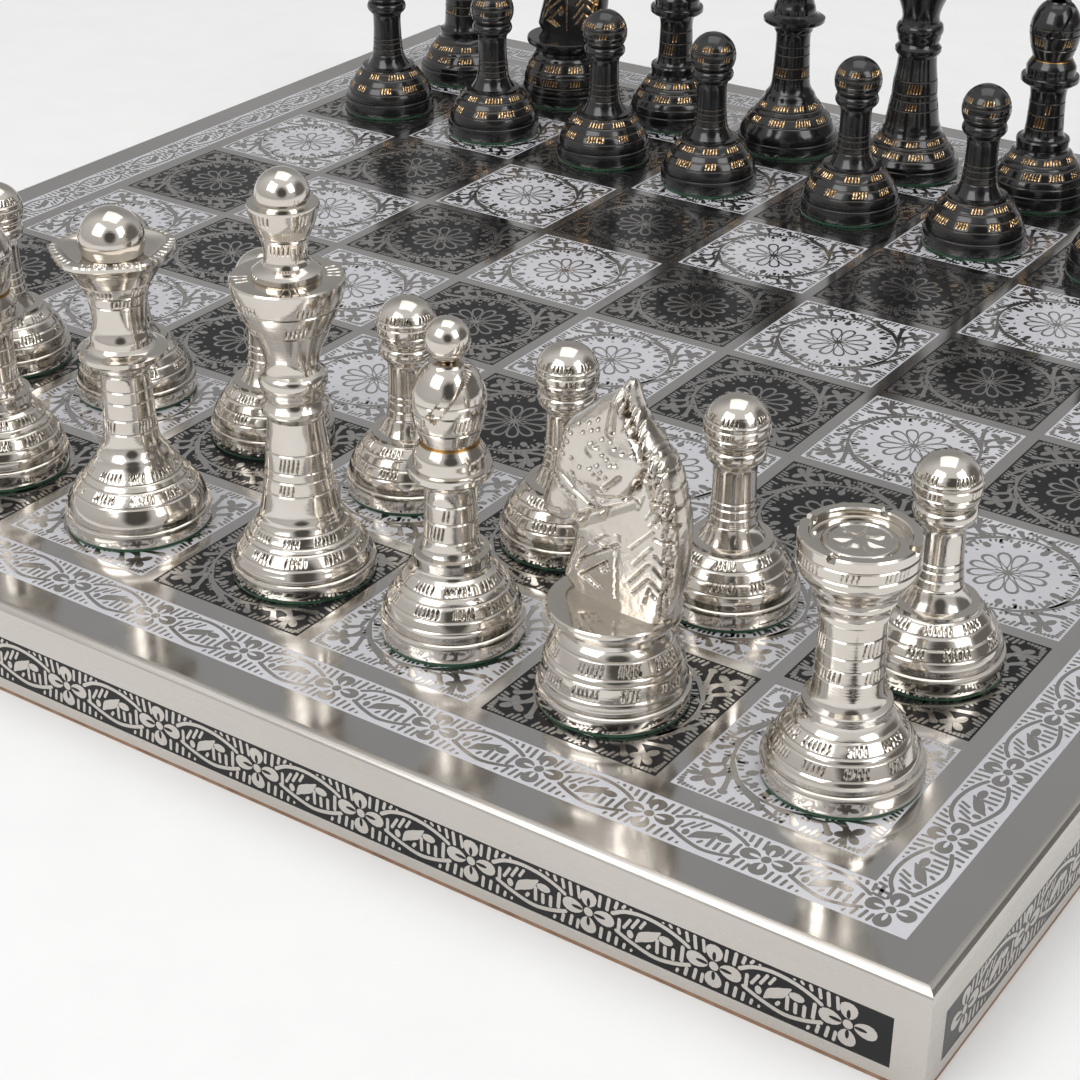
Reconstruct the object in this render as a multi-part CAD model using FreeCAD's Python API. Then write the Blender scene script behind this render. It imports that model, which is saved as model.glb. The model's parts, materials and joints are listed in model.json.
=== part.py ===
import FreeCAD, Part
import math
import os

os.makedirs("parts", exist_ok=True)

# ---------------------------------------------------------------- driving dimensions (mm)
PITCH = 39.0              # one square of the board, centre to centre
BOARD = 355.6             # full width of the board, 14 inches
BOARD_TOP = 20.3          # height of the playing surface above the table
BASE_PANEL = 0.8          # thickness of the brown panel that closes the underside
SHEET = 1.0               # thickness of the etched top plate
STRIP = 1.8               # thickness of the side strips
EDGE_RADIUS = 1.6         # rounding along the top arris
POCKET = 0.4              # depth of the etched pockets that hold the enamel
SQUARE = 36.1             # side of one enamelled square
BORDER_IN = 158.7         # half-width where the white border band starts
BORDER_OUT = 168.9        # half-width where it ends
SIDE_BAND = (3.1, 12.9)   # heights between which the sides carry black enamel
SIDE_BAND_END = 172.0     # half-length of each black band

FELT = 0.6                # thickness of the felt disc under each chess piece
FELT_INSET = 0.25         # how far the felt stays inside the metal base
PAWN_BASE = 13.4          # base radii of the chess pieces
ROOK_BASE = 13.9
KNIGHT_BASE = 13.9
BISHOP_BASE = 13.5
KING_BASE = 14.1
QUEEN_BASE = 14.65
THICK_FOOT = 0.65         # extra thickness of the foot disc of pawns, rooks and bishops
STUD_RADIUS = 1.6         # studs that join the separate heads to the turned bodies
STUD_LENGTH = 3.0
STUD_CLEARANCE = 0.05     # radial clearance of a stud in its hole
GROOVE = 0.16             # depth of the turned decorative lines

CASTLING_ORDER = ("rook", "knight", "bishop", "queen", "king", "bishop", "knight", "rook")
FILES = "abcdefgh"

# A hand-set table is never exact: a few pieces stand a little off the middle of their square.
OFF_CENTRE = {
    "silver_rook_h": (4.1, 0.7),
    "silver_knight_g": (-1.2, -1.1),
    "silver_bishop_f": (1.4, 0.6),
    "silver_king": (3.1, 2.3),
    "silver_queen": (1.4, -0.9),
    "silver_bishop_c": (0.5, 0.3),
    "silver_pawn_h": (1.3, 1.4),
    "silver_pawn_g": (-1.1, 0.4),
    "silver_pawn_f": (-0.3, 1.7),
    "silver_pawn_e": (-0.2, 2.0),
    "silver_pawn_d": (-1.0, 4.6),
    "silver_pawn_c": (-2.1, 4.1),
    "silver_pawn_b": (0.9, 0.6),
    "black_pawn_d": (-2.7, -1.8),
    "black_pawn_e": (1.1, 0.8),
    "black_pawn_f": (-0.3, -1.6),
}


# ---------------------------------------------------------------- helpers
def save(name, shape):
    """Write one sub-part to parts/NAME.step."""
    shape.exportStep("parts/" + name + ".step")


def at(x, y, z):
    return FreeCAD.Vector(x, y, z)


def block(half_x, half_y, low, high, x=0.0, y=0.0):
    """Upright box centred on x, y, from height low to height high."""
    return Part.makeBox(2 * half_x, 2 * half_y, high - low, at(x - half_x, y - half_y, low))


def ring(half_out, half_in, low, high):
    """Square ring lying flat."""
    return block(half_out, half_out, low, high).cut(block(half_in, half_in, low, high))


def turned(profile):
    """Solid of revolution about Z from (radius, height) points, bottom to top."""
    points = [at(0, 0, profile[0][1])]
    points += [at(radius, 0, height) for radius, height in profile]
    points.append(at(0, 0, profile[-1][1]))
    clean = [points[0]]
    for point in points[1:]:
        if point.distanceToPoint(clean[-1]) > 1e-6:
            clean.append(point)
    face = Part.Face(Part.makePolygon(clean + [clean[0]]))
    return face.revolve(at(0, 0, 0), at(0, 0, 1), 360)


def arc(centre_radius, centre_height, radius, start, end, steps):
    """Points of a round stretch of a profile, with angles in degrees up from the horizontal."""
    points = []
    for i in range(steps + 1):
        angle = math.radians(start + (end - start) * i / steps)
        points.append((centre_radius + radius * math.cos(angle), centre_height + radius * math.sin(angle)))
    return points


def radius_at(profile, height):
    """Radius of a profile where it passes a height."""
    for (r0, z0), (r1, z1) in zip(profile, profile[1:]):
        if z0 <= height <= z1 and z1 > z0:
            return r0 + (r1 - r0) * (height - z0) / (z1 - z0)
    return profile[-1][0]


def with_grooves(profile, heights):
    """The same profile with a small V cut at each of the given heights."""
    half = GROOVE
    result = []
    pending = sorted(heights)
    for (r0, z0), (r1, z1) in zip(profile, profile[1:]):
        result.append((r0, z0))
        while pending and pending[0] - half > z0 and pending[0] + half < z1:
            height = pending.pop(0)
            middle = radius_at([(r0, z0), (r1, z1)], height)
            result.append((radius_at([(r0, z0), (r1, z1)], height - half), height - half))
            result.append((middle - GROOVE, height))
            result.append((radius_at([(r0, z0), (r1, z1)], height + half), height + half))
        while pending and pending[0] + half <= z1:
            pending.pop(0)
    result.append(profile[-1])
    return result


def felt_disc(base_radius):
    return Part.makeCylinder(base_radius - FELT_INSET, FELT)


def blind_hole(height):
    """The hole that takes a head's stud, drilled down from the given height."""
    depth = STUD_LENGTH + 0.3
    return Part.makeCylinder(STUD_RADIUS + STUD_CLEARANCE, depth, at(0, 0, height - depth))


def stud(height):
    """The stud under a head whose seat is at the given height."""
    return Part.makeCylinder(STUD_RADIUS, STUD_LENGTH + 0.5, at(0, 0, height - STUD_LENGTH))


# ---------------------------------------------------------------- turned profiles (radius, height)
def plinth(base, rise=0.0):
    """Foot disc shared by every chess piece, up to the groove under the bell; rise makes it thicker."""
    return [
        (base - 0.3, FELT), (base, FELT + 0.35), (base, 3.3 + rise), (base - 0.3, 3.65 + rise),
        (base - 0.8, 3.8 + rise), (base - 0.85, 4.1 + rise), (base - 0.55, 4.35 + rise),
        (base - 0.6, 4.75 + rise),
    ]


PAWN = plinth(PAWN_BASE, THICK_FOOT) + [
    (12.75, 5.75), (12.35, 6.85), (11.6, 8.45), (10.6, 9.95), (9.5, 11.45), (8.4, 12.65),
    (7.9, 13.05), (7.85, 13.65), (6.3, 13.85), (5.5, 15.05), (4.95, 16.25), (4.6, 17.85),
    (4.35, 20.25), (4.2, 22.65), (4.1, 26.15), (4.2, 28.65), (4.6, 29.55), (5.3, 30.15),
    (5.75, 30.95), (5.8, 31.75), (5.5, 32.55), (4.9, 33.05),
] + arc(0, 36.5, 6.3, -29, 90, 14)
PAWN_GROOVES = (6.25, 7.85, 9.65, 11.15, 17.15, 18.95, 20.75, 22.05, 34.25, 35.75, 37.55, 38.65)

ROOK_RIM = 10.05
ROOK_TOP = 46.15
ROOK_DISH = 8.1
ROOK_DISH_DEPTH = 1.7
ROOK_BOSS = 6.0
ROOK = plinth(ROOK_BASE, THICK_FOOT) + [
    (12.75, 5.75), (12.3, 6.85), (11.5, 8.45), (10.5, 10.05), (9.2, 11.55), (8.3, 12.65),
    (7.6, 13.15), (7.45, 13.95), (7.6, 15.05), (7.5, 15.45), (6.6, 15.85), (6.15, 16.85),
    (5.95, 18.65), (5.8, 21.65), (5.65, 26.65), (5.6, 31.25), (5.95, 31.55), (6.0, 32.05),
    (5.85, 32.35), (6.0, 33.25), (6.6, 34.55), (6.95, 34.95), (6.85, 35.35), (7.1, 36.25),
    (7.6, 37.15), (8.6, 38.35), (9.5, 39.55), (ROOK_RIM, 40.65), (ROOK_RIM, ROOK_TOP),
]
ROOK_GROOVES = (6.25, 7.55, 9.25, 10.75, 20.65, 23.15, 25.55, 28.75, 41.95, 44.05)

KNIGHT_DECK = 19.5
KNIGHT = plinth(KNIGHT_BASE) + [
    (13.05, 5.2), (12.9, 7.0), (12.4, 9.2), (11.7, 11.0), (10.8, 12.9), (10.2, 14.1),
    (9.6, 14.8), (9.5, 15.6), (10.3, 16.7), (11.4, 17.4), (12.0, 17.9), (12.05, 19.2),
    (11.8, KNIGHT_DECK),
]
KNIGHT_GROOVES = (6.0, 7.9, 9.8, 11.9)

BISHOP_SEAT = 39.25
BISHOP = plinth(BISHOP_BASE, THICK_FOOT) + [
    (12.85, 5.75), (12.6, 6.65), (12.1, 7.85), (11.5, 8.85), (10.5, 10.55), (9.3, 12.15),
    (8.2, 13.75), (7.35, 14.25), (7.0, 15.05), (7.15, 16.45), (7.25, 17.15), (7.0, 17.6),
    (5.9, 17.85), (5.4, 18.65), (5.15, 20.25), (5.0, 22.65), (4.85, 26.65), (4.8, 29.25),
    (5.0, 31.05), (5.6, 32.05), (7.2, 32.85), (7.75, 33.4),
    (7.8, 34.6), (7.6, 34.95), (6.75, 35.1), (6.65, 35.5), (6.65, 37.3), (6.2, 38.2), (5.5, BISHOP_SEAT),
]
BISHOP_GROOVES = (6.25, 8.35, 10.25, 11.85, 20.65, 24.45, 27.85)
BALL_BOTTOM = -71
BALL_RADIUS = 4.15
BALL_HEIGHT = 58.85
MITRE = [
    (5.0, BISHOP_SEAT), (5.5, 40.65), (6.1, 42.55), (6.55, 44.65), (6.8, 46.65), (6.8, 47.95),
    (6.5, 49.65), (5.9, 51.15), (5.3, 52.35), (4.4, 53.55), (3.4, 54.45), (3.2, 54.85),
] + arc(0, BALL_HEIGHT, BALL_RADIUS, BALL_BOTTOM, 90, 14)
MITRE_GROOVES = (42.65, 46.45, 47.95)

KING_SEAT = 61.3
KING = plinth(KING_BASE) + [
    (13.2, 5.1), (12.7, 6.2), (11.8, 7.6), (10.7, 9.0), (9.7, 10.3), (8.8, 11.8),
    (8.2, 12.8), (8.05, 13.6), (7.75, 14.3), (7.5, 15.2), (6.95, 19.0), (6.45, 22.0),
    (6.04, 27.0), (5.57, 30.5), (5.35, 33.4), (5.88, 34.1), (6.41, 34.9), (6.41, 35.9),
    (5.67, 36.8), (5.46, 37.3), (5.88, 38.2), (6.09, 39.4), (6.46, 40.3), (6.51, 41.2),
    (6.2, 42.3), (5.35, 43.0), (5.09, 44.3), (5.35, 46.0), (6.04, 48.0), (6.93, 50.0),
    (7.88, 52.0), (8.82, 54.0), (9.61, 56.0), (10.24, 58.0), (10.61, 60.0), (10.66, 61.0),
    (10.4, KING_SEAT),
]
KING_GROOVES = (5.6, 6.8, 8.3, 9.7, 11.2, 19.0, 21.7, 23.5, 27.2, 51.8, 56.4)
KING_CROWN = [
    (6.2, KING_SEAT), (6.46, 61.6), (6.41, 62.6), (5.67, 63.2), (4.41, 63.9), (3.99, 64.8),
    (4.09, 66.8), (4.62, 69.1), (5.88, 72.1), (6.2, 73.4), (6.62, 75.0), (6.51, 75.4),
    (5.15, 75.6),
] + arc(0, 76.8, 5.0, -12, 90, 10)

QUEEN_SEAT = 57.6
QUEEN = plinth(QUEEN_BASE) + [
    (14.0, 5.1), (13.6, 6.3), (12.9, 7.6), (12.1, 8.9), (10.7, 10.6), (9.4, 12.2),
    (8.1, 13.9), (7.4, 15.0), (7.1, 15.8), (6.3, 16.8), (5.7, 18.2), (5.4, 20.4),
    (5.2, 24.0), (5.0, 28.0), (4.9, 32.0), (5.0, 33.4), (5.5, 34.2), (5.6, 34.9),
    (6.7, 35.7), (8.2, 36.4), (8.75, 36.9), (8.8, 37.8), (8.3, 38.1), (6.9, 38.5),
    (6.05, 39.4), (5.95, 40.8), (5.6, 41.7), (5.3, 42.8), (5.25, 44.5), (5.45, 46.5),
    (5.8, 48.5), (6.3, 50.4), (7.2, 52.2), (8.4, 54.1), (9.8, 55.9), (11.0, 57.4),
    (11.5, 58.4), (11.3, 58.8), (10.0, 58.8), (8.5, 58.0), (6.0, QUEEN_SEAT),
]
QUEEN_GROOVES = (5.6, 8.2, 9.9, 11.6, 13.4, 22.0, 26.5, 30.5, 43.5, 49.4, 53.0)
QUEEN_ORB_RADIUS = 6.4
QUEEN_ORB_HEIGHT = 60.25


# ---------------------------------------------------------------- chess pieces, standing on z = 0
def pawn():
    return [turned(with_grooves(PAWN, PAWN_GROOVES)), felt_disc(PAWN_BASE)]


def rook():
    body = turned(with_grooves(ROOK, ROOK_GROOVES))
    dish = Part.makeCylinder(ROOK_DISH, ROOK_DISH_DEPTH, at(0, 0, ROOK_TOP - ROOK_DISH_DEPTH))
    body = body.cut(dish)
    boss = Part.makeCylinder(ROOK_BOSS, 0.5, at(0, 0, ROOK_TOP - ROOK_DISH_DEPTH))
    body = body.fuse(boss)
    for turn in range(4):
        slot = block(2.0, 0.65, ROOK_TOP - 1.0, ROOK_TOP + 1.0, x=9.2)
        slot.rotate(at(0, 0, 0), at(0, 0, 1), 90 * turn)
        body = body.cut(slot)
    return [body, felt_disc(ROOK_BASE)]


def knight_base():
    body = turned(with_grooves(KNIGHT, KNIGHT_GROOVES))
    return [body.cut(blind_hole(KNIGHT_DECK)), felt_disc(KNIGHT_BASE)]


# Outline of the horse's head seen from its side, nose towards -X: (x, z) from the deck up the throat,
# round the muzzle and brow to the ears, then down the mane.
HORSE_OUTLINE = [
    (-9.0, 19.5), (-10.4, 21.6), (-9.9, 23.8), (-9.2, 26.3), (-8.3, 28.9), (-7.7, 32.0),
    (-7.6, 33.2), (-9.4, 32.7), (-12.8, 32.4), (-14.2, 33.4), (-14.9, 35.0), (-14.6, 36.6),
    (-13.6, 39.2), (-12.8, 41.3), (-12.4, 43.8), (-11.8, 46.6), (-10.8, 49.5), (-9.2, 52.2),
    (-6.7, 54.4), (-4.1, 56.6), (-3.0, 57.8), (-1.1, 59.2), (0.9, 60.9), (1.6, 61.8),
    (3.0, 62.4), (3.7, 61.3), (4.2, 59.6), (5.1, 57.2), (7.0, 54.2), (9.1, 51.8),
    (11.0, 49.4), (12.1, 46.7), (12.9, 43.6), (13.8, 40.2), (14.2, 36.5), (14.2, 31.8),
    (13.8, 27.9), (13.2, 24.7), (12.2, 21.5), (11.2, 19.5),
]
# Half-thickness of the head at each height: a slim neck, fuller cheeks and narrow ears.
HORSE_THICKNESS = [
    (19.5, 3.0), (24.0, 3.6), (30.0, 4.1), (36.0, 4.3), (48.0, 4.3), (54.0, 3.6), (58.0, 2.6), (62.5, 1.5),
]


def knight_head():
    side = [at(x, -20, z) for x, z in HORSE_OUTLINE]
    slab = Part.Face(Part.makePolygon(side + [side[0]])).extrude(at(0, 40, 0))
    front = [at(-20, -half, z) for z, half in HORSE_THICKNESS]
    front += [at(-20, half, z) for z, half in reversed(HORSE_THICKNESS)]
    column = Part.Face(Part.makePolygon(front + [front[0]])).extrude(at(40, 0, 0))
    return slab.common(column).fuse(stud(KNIGHT_DECK)).removeSplitter()


def bishop_body():
    body = turned(with_grooves(BISHOP, BISHOP_GROOVES))
    return [body.cut(blind_hole(BISHOP_SEAT)), felt_disc(BISHOP_BASE)]


def bishop_mitre():
    head = turned(with_grooves(MITRE, MITRE_GROOVES)).fuse(stud(BISHOP_SEAT))
    kerf = block(0.95, 8.0, 44.85, 62.0, y=-8.5)
    kerf.rotate(at(0, 0, 49.8), at(0, 1, 0), 38)
    finial = Part.makeSphere(BALL_RADIUS, at(0, 0, BALL_HEIGHT))
    return head.cut(kerf).fuse(finial).removeSplitter()


def king_body():
    body = turned(with_grooves(KING, KING_GROOVES))
    return [body.cut(blind_hole(KING_SEAT)), felt_disc(KING_BASE)]


def king_crown():
    return turned(KING_CROWN).fuse(stud(KING_SEAT))


def queen_body():
    body = turned(with_grooves(QUEEN, QUEEN_GROOVES))
    return [body.cut(blind_hole(QUEEN_SEAT)), felt_disc(QUEEN_BASE)]


def queen_orb():
    low = math.degrees(math.asin((QUEEN_SEAT - QUEEN_ORB_HEIGHT) / QUEEN_ORB_RADIUS))
    return turned(arc(0, QUEEN_ORB_HEIGHT, QUEEN_ORB_RADIUS, low, 90, 16)).fuse(stud(QUEEN_SEAT))


BODIES = {
    "pawn": pawn(),
    "rook": rook(),
    "knight": knight_base(),
    "bishop": bishop_body(),
    "king": king_body(),
    "queen": queen_body(),
}
HEADS = {
    "knight": ("head", knight_head()),
    "bishop": ("mitre", bishop_mitre()),
    "king": ("crown", king_crown()),
    "queen": ("orb", queen_orb()),
}
FACING = 34.0             # degrees that the pieces are turned about Z
KNIGHT_FACING = -2.0      # the horses look along the rank, towards the left


def place(shape, spot, facing):
    """Copy of a shape turned about its own axis and stood on the board at spot."""
    copy = shape.copy()
    copy.rotate(at(0, 0, 0), at(0, 0, 1), facing)
    copy.translate(at(spot[0], spot[1], BOARD_TOP))
    return copy


def stand(name, kind, column, row):
    """Save one chess piece, body and head, on its square."""
    x_offset, y_offset = OFF_CENTRE.get(name, (0.0, 0.0))
    spot = ((column - 3.5) * PITCH + x_offset, (row - 3.5) * PITCH + y_offset)
    turn = {"rook": 0.0, "knight": KNIGHT_FACING}.get(kind, FACING)
    solids = [place(solid, spot, turn) for solid in BODIES[kind]]
    save(name, Part.makeCompound(solids))
    if kind in HEADS:
        part, shape = HEADS[kind]
        save(name + "_" + part, place(shape, spot, turn))


def army(colour, home_row, pawn_row):
    for column, kind in enumerate(CASTLING_ORDER):
        alone = kind in ("king", "queen")
        name = colour + "_" + kind if alone else colour + "_" + kind + "_" + FILES[column]
        stand(name, kind, column, home_row)
    for column in range(8):
        stand(colour + "_pawn_" + FILES[column], "pawn", column, pawn_row)


# ---------------------------------------------------------------- the board
def square_centres(colour):
    """Centres of the light or dark squares; the near left corner square is dark."""
    centres = []
    for column in range(8):
        for row in range(8):
            is_light = (column + row) % 2 == 1
            if is_light == (colour == "light"):
                centres.append(((column - 3.5) * PITCH, (row - 3.5) * PITCH))
    return centres


def square_fillings(colour):
    half = SQUARE / 2
    low = BOARD_TOP - POCKET
    return [block(half, half, low, BOARD_TOP, x, y) for x, y in square_centres(colour)]


def top_plate():
    inside = BOARD / 2 - STRIP
    plate = block(inside, inside, BOARD_TOP - SHEET, BOARD_TOP)
    pockets = square_fillings("light") + square_fillings("dark")
    pockets.append(ring(BORDER_OUT, BORDER_IN, BOARD_TOP - POCKET, BOARD_TOP))
    return plate.cut(pockets)


def side_band():
    """Black enamel filling of the front side."""
    low, high = SIDE_BAND
    return block(SIDE_BAND_END, POCKET / 2, low, high, y=-BOARD / 2 + POCKET / 2)


def side_strip():
    """Front side strip: rounded along the top, mitred at both ends, with a pocket for the enamel."""
    half = BOARD / 2
    outline = [at(0, -half, BASE_PANEL), at(0, -half + STRIP, BASE_PANEL), at(0, -half + STRIP, BOARD_TOP)]
    for i in range(7):
        angle = math.radians(90 + 15 * i)
        outline.append(at(0, -half + EDGE_RADIUS + EDGE_RADIUS * math.cos(angle),
                          BOARD_TOP - EDGE_RADIUS + EDGE_RADIUS * math.sin(angle)))
    bar = Part.Face(Part.makePolygon(outline + [outline[0]])).extrude(at(BOARD, 0, 0))
    bar.translate(at(-half, 0, 0))
    wedge = [at(0, 0, 0), at(-half - 1, -half - 1, 0), at(half + 1, -half - 1, 0)]
    mitre = Part.Face(Part.makePolygon(wedge + [wedge[0]])).extrude(at(0, 0, BOARD_TOP + 1))
    return bar.common(mitre).cut(side_band())


def around(shape, quarter):
    """Copy of a shape turned a number of quarter turns about the board's centre."""
    copy = shape.copy()
    copy.rotate(at(0, 0, 0), at(0, 0, 1), 90 * quarter)
    return copy


def board():
    inside = BOARD / 2 - STRIP
    save("board_core", block(inside, inside, BASE_PANEL, BOARD_TOP - SHEET))
    save("base_panel", block(BOARD / 2, BOARD / 2, 0, BASE_PANEL))
    save("top_plate", top_plate())
    for quarter, name in enumerate(("front", "right", "back", "left")):
        save("side_strip_" + name, around(side_strip(), quarter))
    save("side_enamel", Part.makeCompound([around(side_band(), quarter) for quarter in range(4)]))
    save("border_enamel", ring(BORDER_OUT, BORDER_IN, BOARD_TOP - POCKET, BOARD_TOP))
    for colour in ("light", "dark"):
        save(colour + "_square_enamel", Part.makeCompound(square_fillings(colour)))


board()
army("silver", 0, 1)
army("black", 7, 6)
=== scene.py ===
import json
import math
import random

import bpy
import numpy as np
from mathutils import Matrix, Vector

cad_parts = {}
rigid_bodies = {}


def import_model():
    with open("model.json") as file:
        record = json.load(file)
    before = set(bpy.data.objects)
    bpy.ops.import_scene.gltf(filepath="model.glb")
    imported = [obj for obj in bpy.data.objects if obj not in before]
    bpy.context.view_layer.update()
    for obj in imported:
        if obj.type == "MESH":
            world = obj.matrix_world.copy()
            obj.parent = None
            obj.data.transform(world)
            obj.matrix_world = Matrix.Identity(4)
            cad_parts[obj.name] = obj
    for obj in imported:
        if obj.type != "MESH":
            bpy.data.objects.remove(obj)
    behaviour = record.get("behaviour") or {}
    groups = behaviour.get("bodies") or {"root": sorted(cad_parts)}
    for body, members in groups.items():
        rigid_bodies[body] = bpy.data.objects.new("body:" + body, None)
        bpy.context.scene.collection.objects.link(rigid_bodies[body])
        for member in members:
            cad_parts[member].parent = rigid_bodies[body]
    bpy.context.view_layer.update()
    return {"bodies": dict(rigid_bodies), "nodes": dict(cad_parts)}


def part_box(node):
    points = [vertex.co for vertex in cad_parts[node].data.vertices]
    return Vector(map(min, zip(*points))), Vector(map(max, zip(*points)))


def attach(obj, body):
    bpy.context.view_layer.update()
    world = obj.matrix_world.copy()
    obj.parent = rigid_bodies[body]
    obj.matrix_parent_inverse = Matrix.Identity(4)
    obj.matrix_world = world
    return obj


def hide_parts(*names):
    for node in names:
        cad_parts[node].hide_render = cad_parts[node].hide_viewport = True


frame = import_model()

MM = 0.001

# ---------------------------------------------------------------- places taken from the frame
board_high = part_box("top_plate")[1]
strip_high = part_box("side_strip_front")[1]
border_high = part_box("border_enamel")[1]
squares_low, squares_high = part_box("dark_square_enamel")
side_low, side_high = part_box("side_enamel")
TOP = board_high.z / MM                      # height of the playing surface
HALF = strip_high.x / MM                     # half-width of the board
BORDER_OUT = border_high.x / MM
SQUARE = 36.1                                # side of one enamelled square
PITCH = (squares_high.x / MM - SQUARE / 2) / 3.5
BORDER_IN = 158.7                            # half-width where the white border band starts
SIDE_LOW = side_low.z / MM
SIDE_HIGH = side_high.z / MM
SIDE_END = 172.0                             # half-length of each black band in the sides
ENAMEL_DROP = 0.045                          # how far the enamel lies below the metal pattern


# ---------------------------------------------------------------- node materials
def new_material(name):
    material = bpy.data.materials.new(name)
    material.use_nodes = True
    nodes = material.node_tree.nodes
    shader = nodes["Principled BSDF"]
    return material, nodes, material.node_tree.links, shader


def add(nodes, kind, **values):
    """A new node; keywords set its properties or, if there is no such property, its inputs."""
    node = nodes.new(kind)
    for key, value in values.items():
        if hasattr(node, key):
            setattr(node, key, value)
        else:
            node.inputs[key.replace("_", " ")].default_value = value
    return node


def noise(nodes, links, coords, scale, detail=3.0, stretch=None):
    texture = add(nodes, "ShaderNodeTexNoise", Scale=scale, Detail=detail)
    if stretch:
        mapping = add(nodes, "ShaderNodeMapping")
        mapping.inputs["Scale"].default_value = stretch
        links.new(coords, mapping.inputs["Vector"])
        coords = mapping.outputs["Vector"]
    links.new(coords, texture.inputs["Vector"])
    return texture.outputs["Fac"]


def spread(nodes, links, value, low, high, start=0.3, end=0.7):
    """Map the middle of a noise range to low..high."""
    span = add(nodes, "ShaderNodeMapRange")
    span.inputs["From Min"].default_value = start
    span.inputs["From Max"].default_value = end
    span.inputs["To Min"].default_value = low
    span.inputs["To Max"].default_value = high
    links.new(value, span.inputs["Value"])
    return span.outputs["Result"]


def mix(nodes, links, factor, first, second):
    """Colour mix; each end is a colour or a socket."""
    node = add(nodes, "ShaderNodeMix", data_type="RGBA")
    links.new(factor, node.inputs["Factor"])
    for socket, value in ((node.inputs[6], first), (node.inputs[7], second)):
        if isinstance(value, tuple):
            socket.default_value = value + (1.0,)
        else:
            links.new(value, socket)
    return node.outputs[2]


def clouded(nodes, links, value, light, dark):
    """Colour that drifts between two tones with a noise."""
    return mix(nodes, links, spread(nodes, links, value, 0.0, 1.0), light, dark)


def bump(nodes, links, shader, height, strength, distance, normal=None):
    node = add(nodes, "ShaderNodeBump", Strength=strength, Distance=distance)
    links.new(height, node.inputs["Height"])
    if normal:
        links.new(normal, node.inputs["Normal"])
    links.new(node.outputs["Normal"], shader.inputs["Normal"])
    return node.outputs["Normal"]


def coordinates(nodes):
    return add(nodes, "ShaderNodeTexCoord").outputs["Object"]


def polished_nickel(name, rough_low, rough_high, turned=True):
    """Bright, slightly warm plated brass with fine polishing marks; chisel cuts are painted duller and
    darker, as painted shade in the recesses.
    """
    material, nodes, links, shader = new_material(name)
    coords = coordinates(nodes)
    cut = add(nodes, "ShaderNodeAttribute", attribute_name="cut").outputs["Fac"]
    clouds = noise(nodes, links, coords, 90.0, 4.0)
    tint = clouded(nodes, links, clouds, (0.72, 0.68, 0.625), (0.63, 0.585, 0.525))
    # painted shade: the colour darkens to a dark brown wherever the cut mask marks a chisel cut or turned
    # line
    colour = mix(nodes, links, spread(nodes, links, cut, 0.0, 0.75, 0.05, 0.8), tint, (0.30, 0.26, 0.21))
    links.new(colour, shader.inputs["Base Color"])
    shader.inputs["Metallic"].default_value = 1.0
    fine = noise(nodes, links, coords, 420.0, 5.0)
    links.new(spread(nodes, links, fine, rough_low, rough_high), shader.inputs["Roughness"])
    wobble = noise(nodes, links, coords, 130.0, 2.0)
    first = bump(nodes, links, shader, wobble, 0.10, 0.0006)
    if turned:
        lathe_marks = noise(nodes, links, coords, 60.0, 3.0, (1.0, 1.0, 60.0))
        bump(nodes, links, shader, lathe_marks, 0.05, 0.0002, first)
    else:
        dents = noise(nodes, links, coords, 700.0, 2.0)
        bump(nodes, links, shader, dents, 0.15, 0.0004, first)
    return material


def black_lacquer(name):
    """Deep black stove lacquer over brass, with the brass laid bare in the chisel cuts."""
    material, nodes, links, shader = new_material(name)
    coords = coordinates(nodes)
    cut = add(nodes, "ShaderNodeAttribute", attribute_name="cut").outputs["Fac"]
    bare = spread(nodes, links, cut, 0.0, 1.0, 0.28, 0.50)
    clouds = noise(nodes, links, coords, 120.0, 3.0)
    paint = clouded(nodes, links, clouds, (0.006, 0.006, 0.007), (0.014, 0.013, 0.013))
    brass = clouded(nodes, links, clouds, (0.80, 0.55, 0.27), (0.66, 0.42, 0.19))
    links.new(mix(nodes, links, bare, paint, brass), shader.inputs["Base Color"])
    links.new(bare, shader.inputs["Metallic"])
    fine = noise(nodes, links, coords, 500.0, 4.0)
    links.new(spread(nodes, links, fine, 0.10, 0.22), shader.inputs["Roughness"])
    shader.inputs["Coat Weight"].default_value = 0.35
    shader.inputs["Coat Roughness"].default_value = 0.06
    bump(nodes, links, shader, noise(nodes, links, coords, 200.0, 2.0), 0.08, 0.0004)
    return material


def satin_nickel(name, rough_low, rough_high, light, dark, brushing):
    """Nickel sheet with brushing along it, cloudy wear and a trace of brass showing where it is scuffed."""
    material, nodes, links, shader = new_material(name)
    coords = coordinates(nodes)
    clouds = noise(nodes, links, coords, 14.0, 5.0)
    tint = clouded(nodes, links, clouds, light, dark)
    scuff = spread(nodes, links, noise(nodes, links, coords, 260.0, 6.0), 0.0, 0.75, 0.70, 0.80)
    links.new(mix(nodes, links, scuff, tint, (0.62, 0.46, 0.24)), shader.inputs["Base Color"])
    shader.inputs["Metallic"].default_value = 1.0
    streaks = noise(nodes, links, coords, 40.0, 4.0, brushing)
    links.new(spread(nodes, links, streaks, rough_low, rough_high), shader.inputs["Roughness"])
    first = bump(nodes, links, shader, noise(nodes, links, coords, 22.0, 2.0), 0.05, 0.0012)
    bump(nodes, links, shader, streaks, 0.05, 0.0002, first)
    return material


def lacquer(name, light, dark, rough_low, rough_high, gloss):
    """Glossy stoved enamel with faint clouding and a little orange peel."""
    material, nodes, links, shader = new_material(name)
    coords = coordinates(nodes)
    clouds = noise(nodes, links, coords, 45.0, 5.0)
    links.new(clouded(nodes, links, clouds, light, dark), shader.inputs["Base Color"])
    fine = noise(nodes, links, coords, 300.0, 3.0)
    links.new(spread(nodes, links, fine, rough_low, rough_high), shader.inputs["Roughness"])
    shader.inputs["Specular IOR Level"].default_value = gloss
    bump(nodes, links, shader, noise(nodes, links, coords, 160.0, 2.0), 0.06, 0.0004)
    return material


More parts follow.
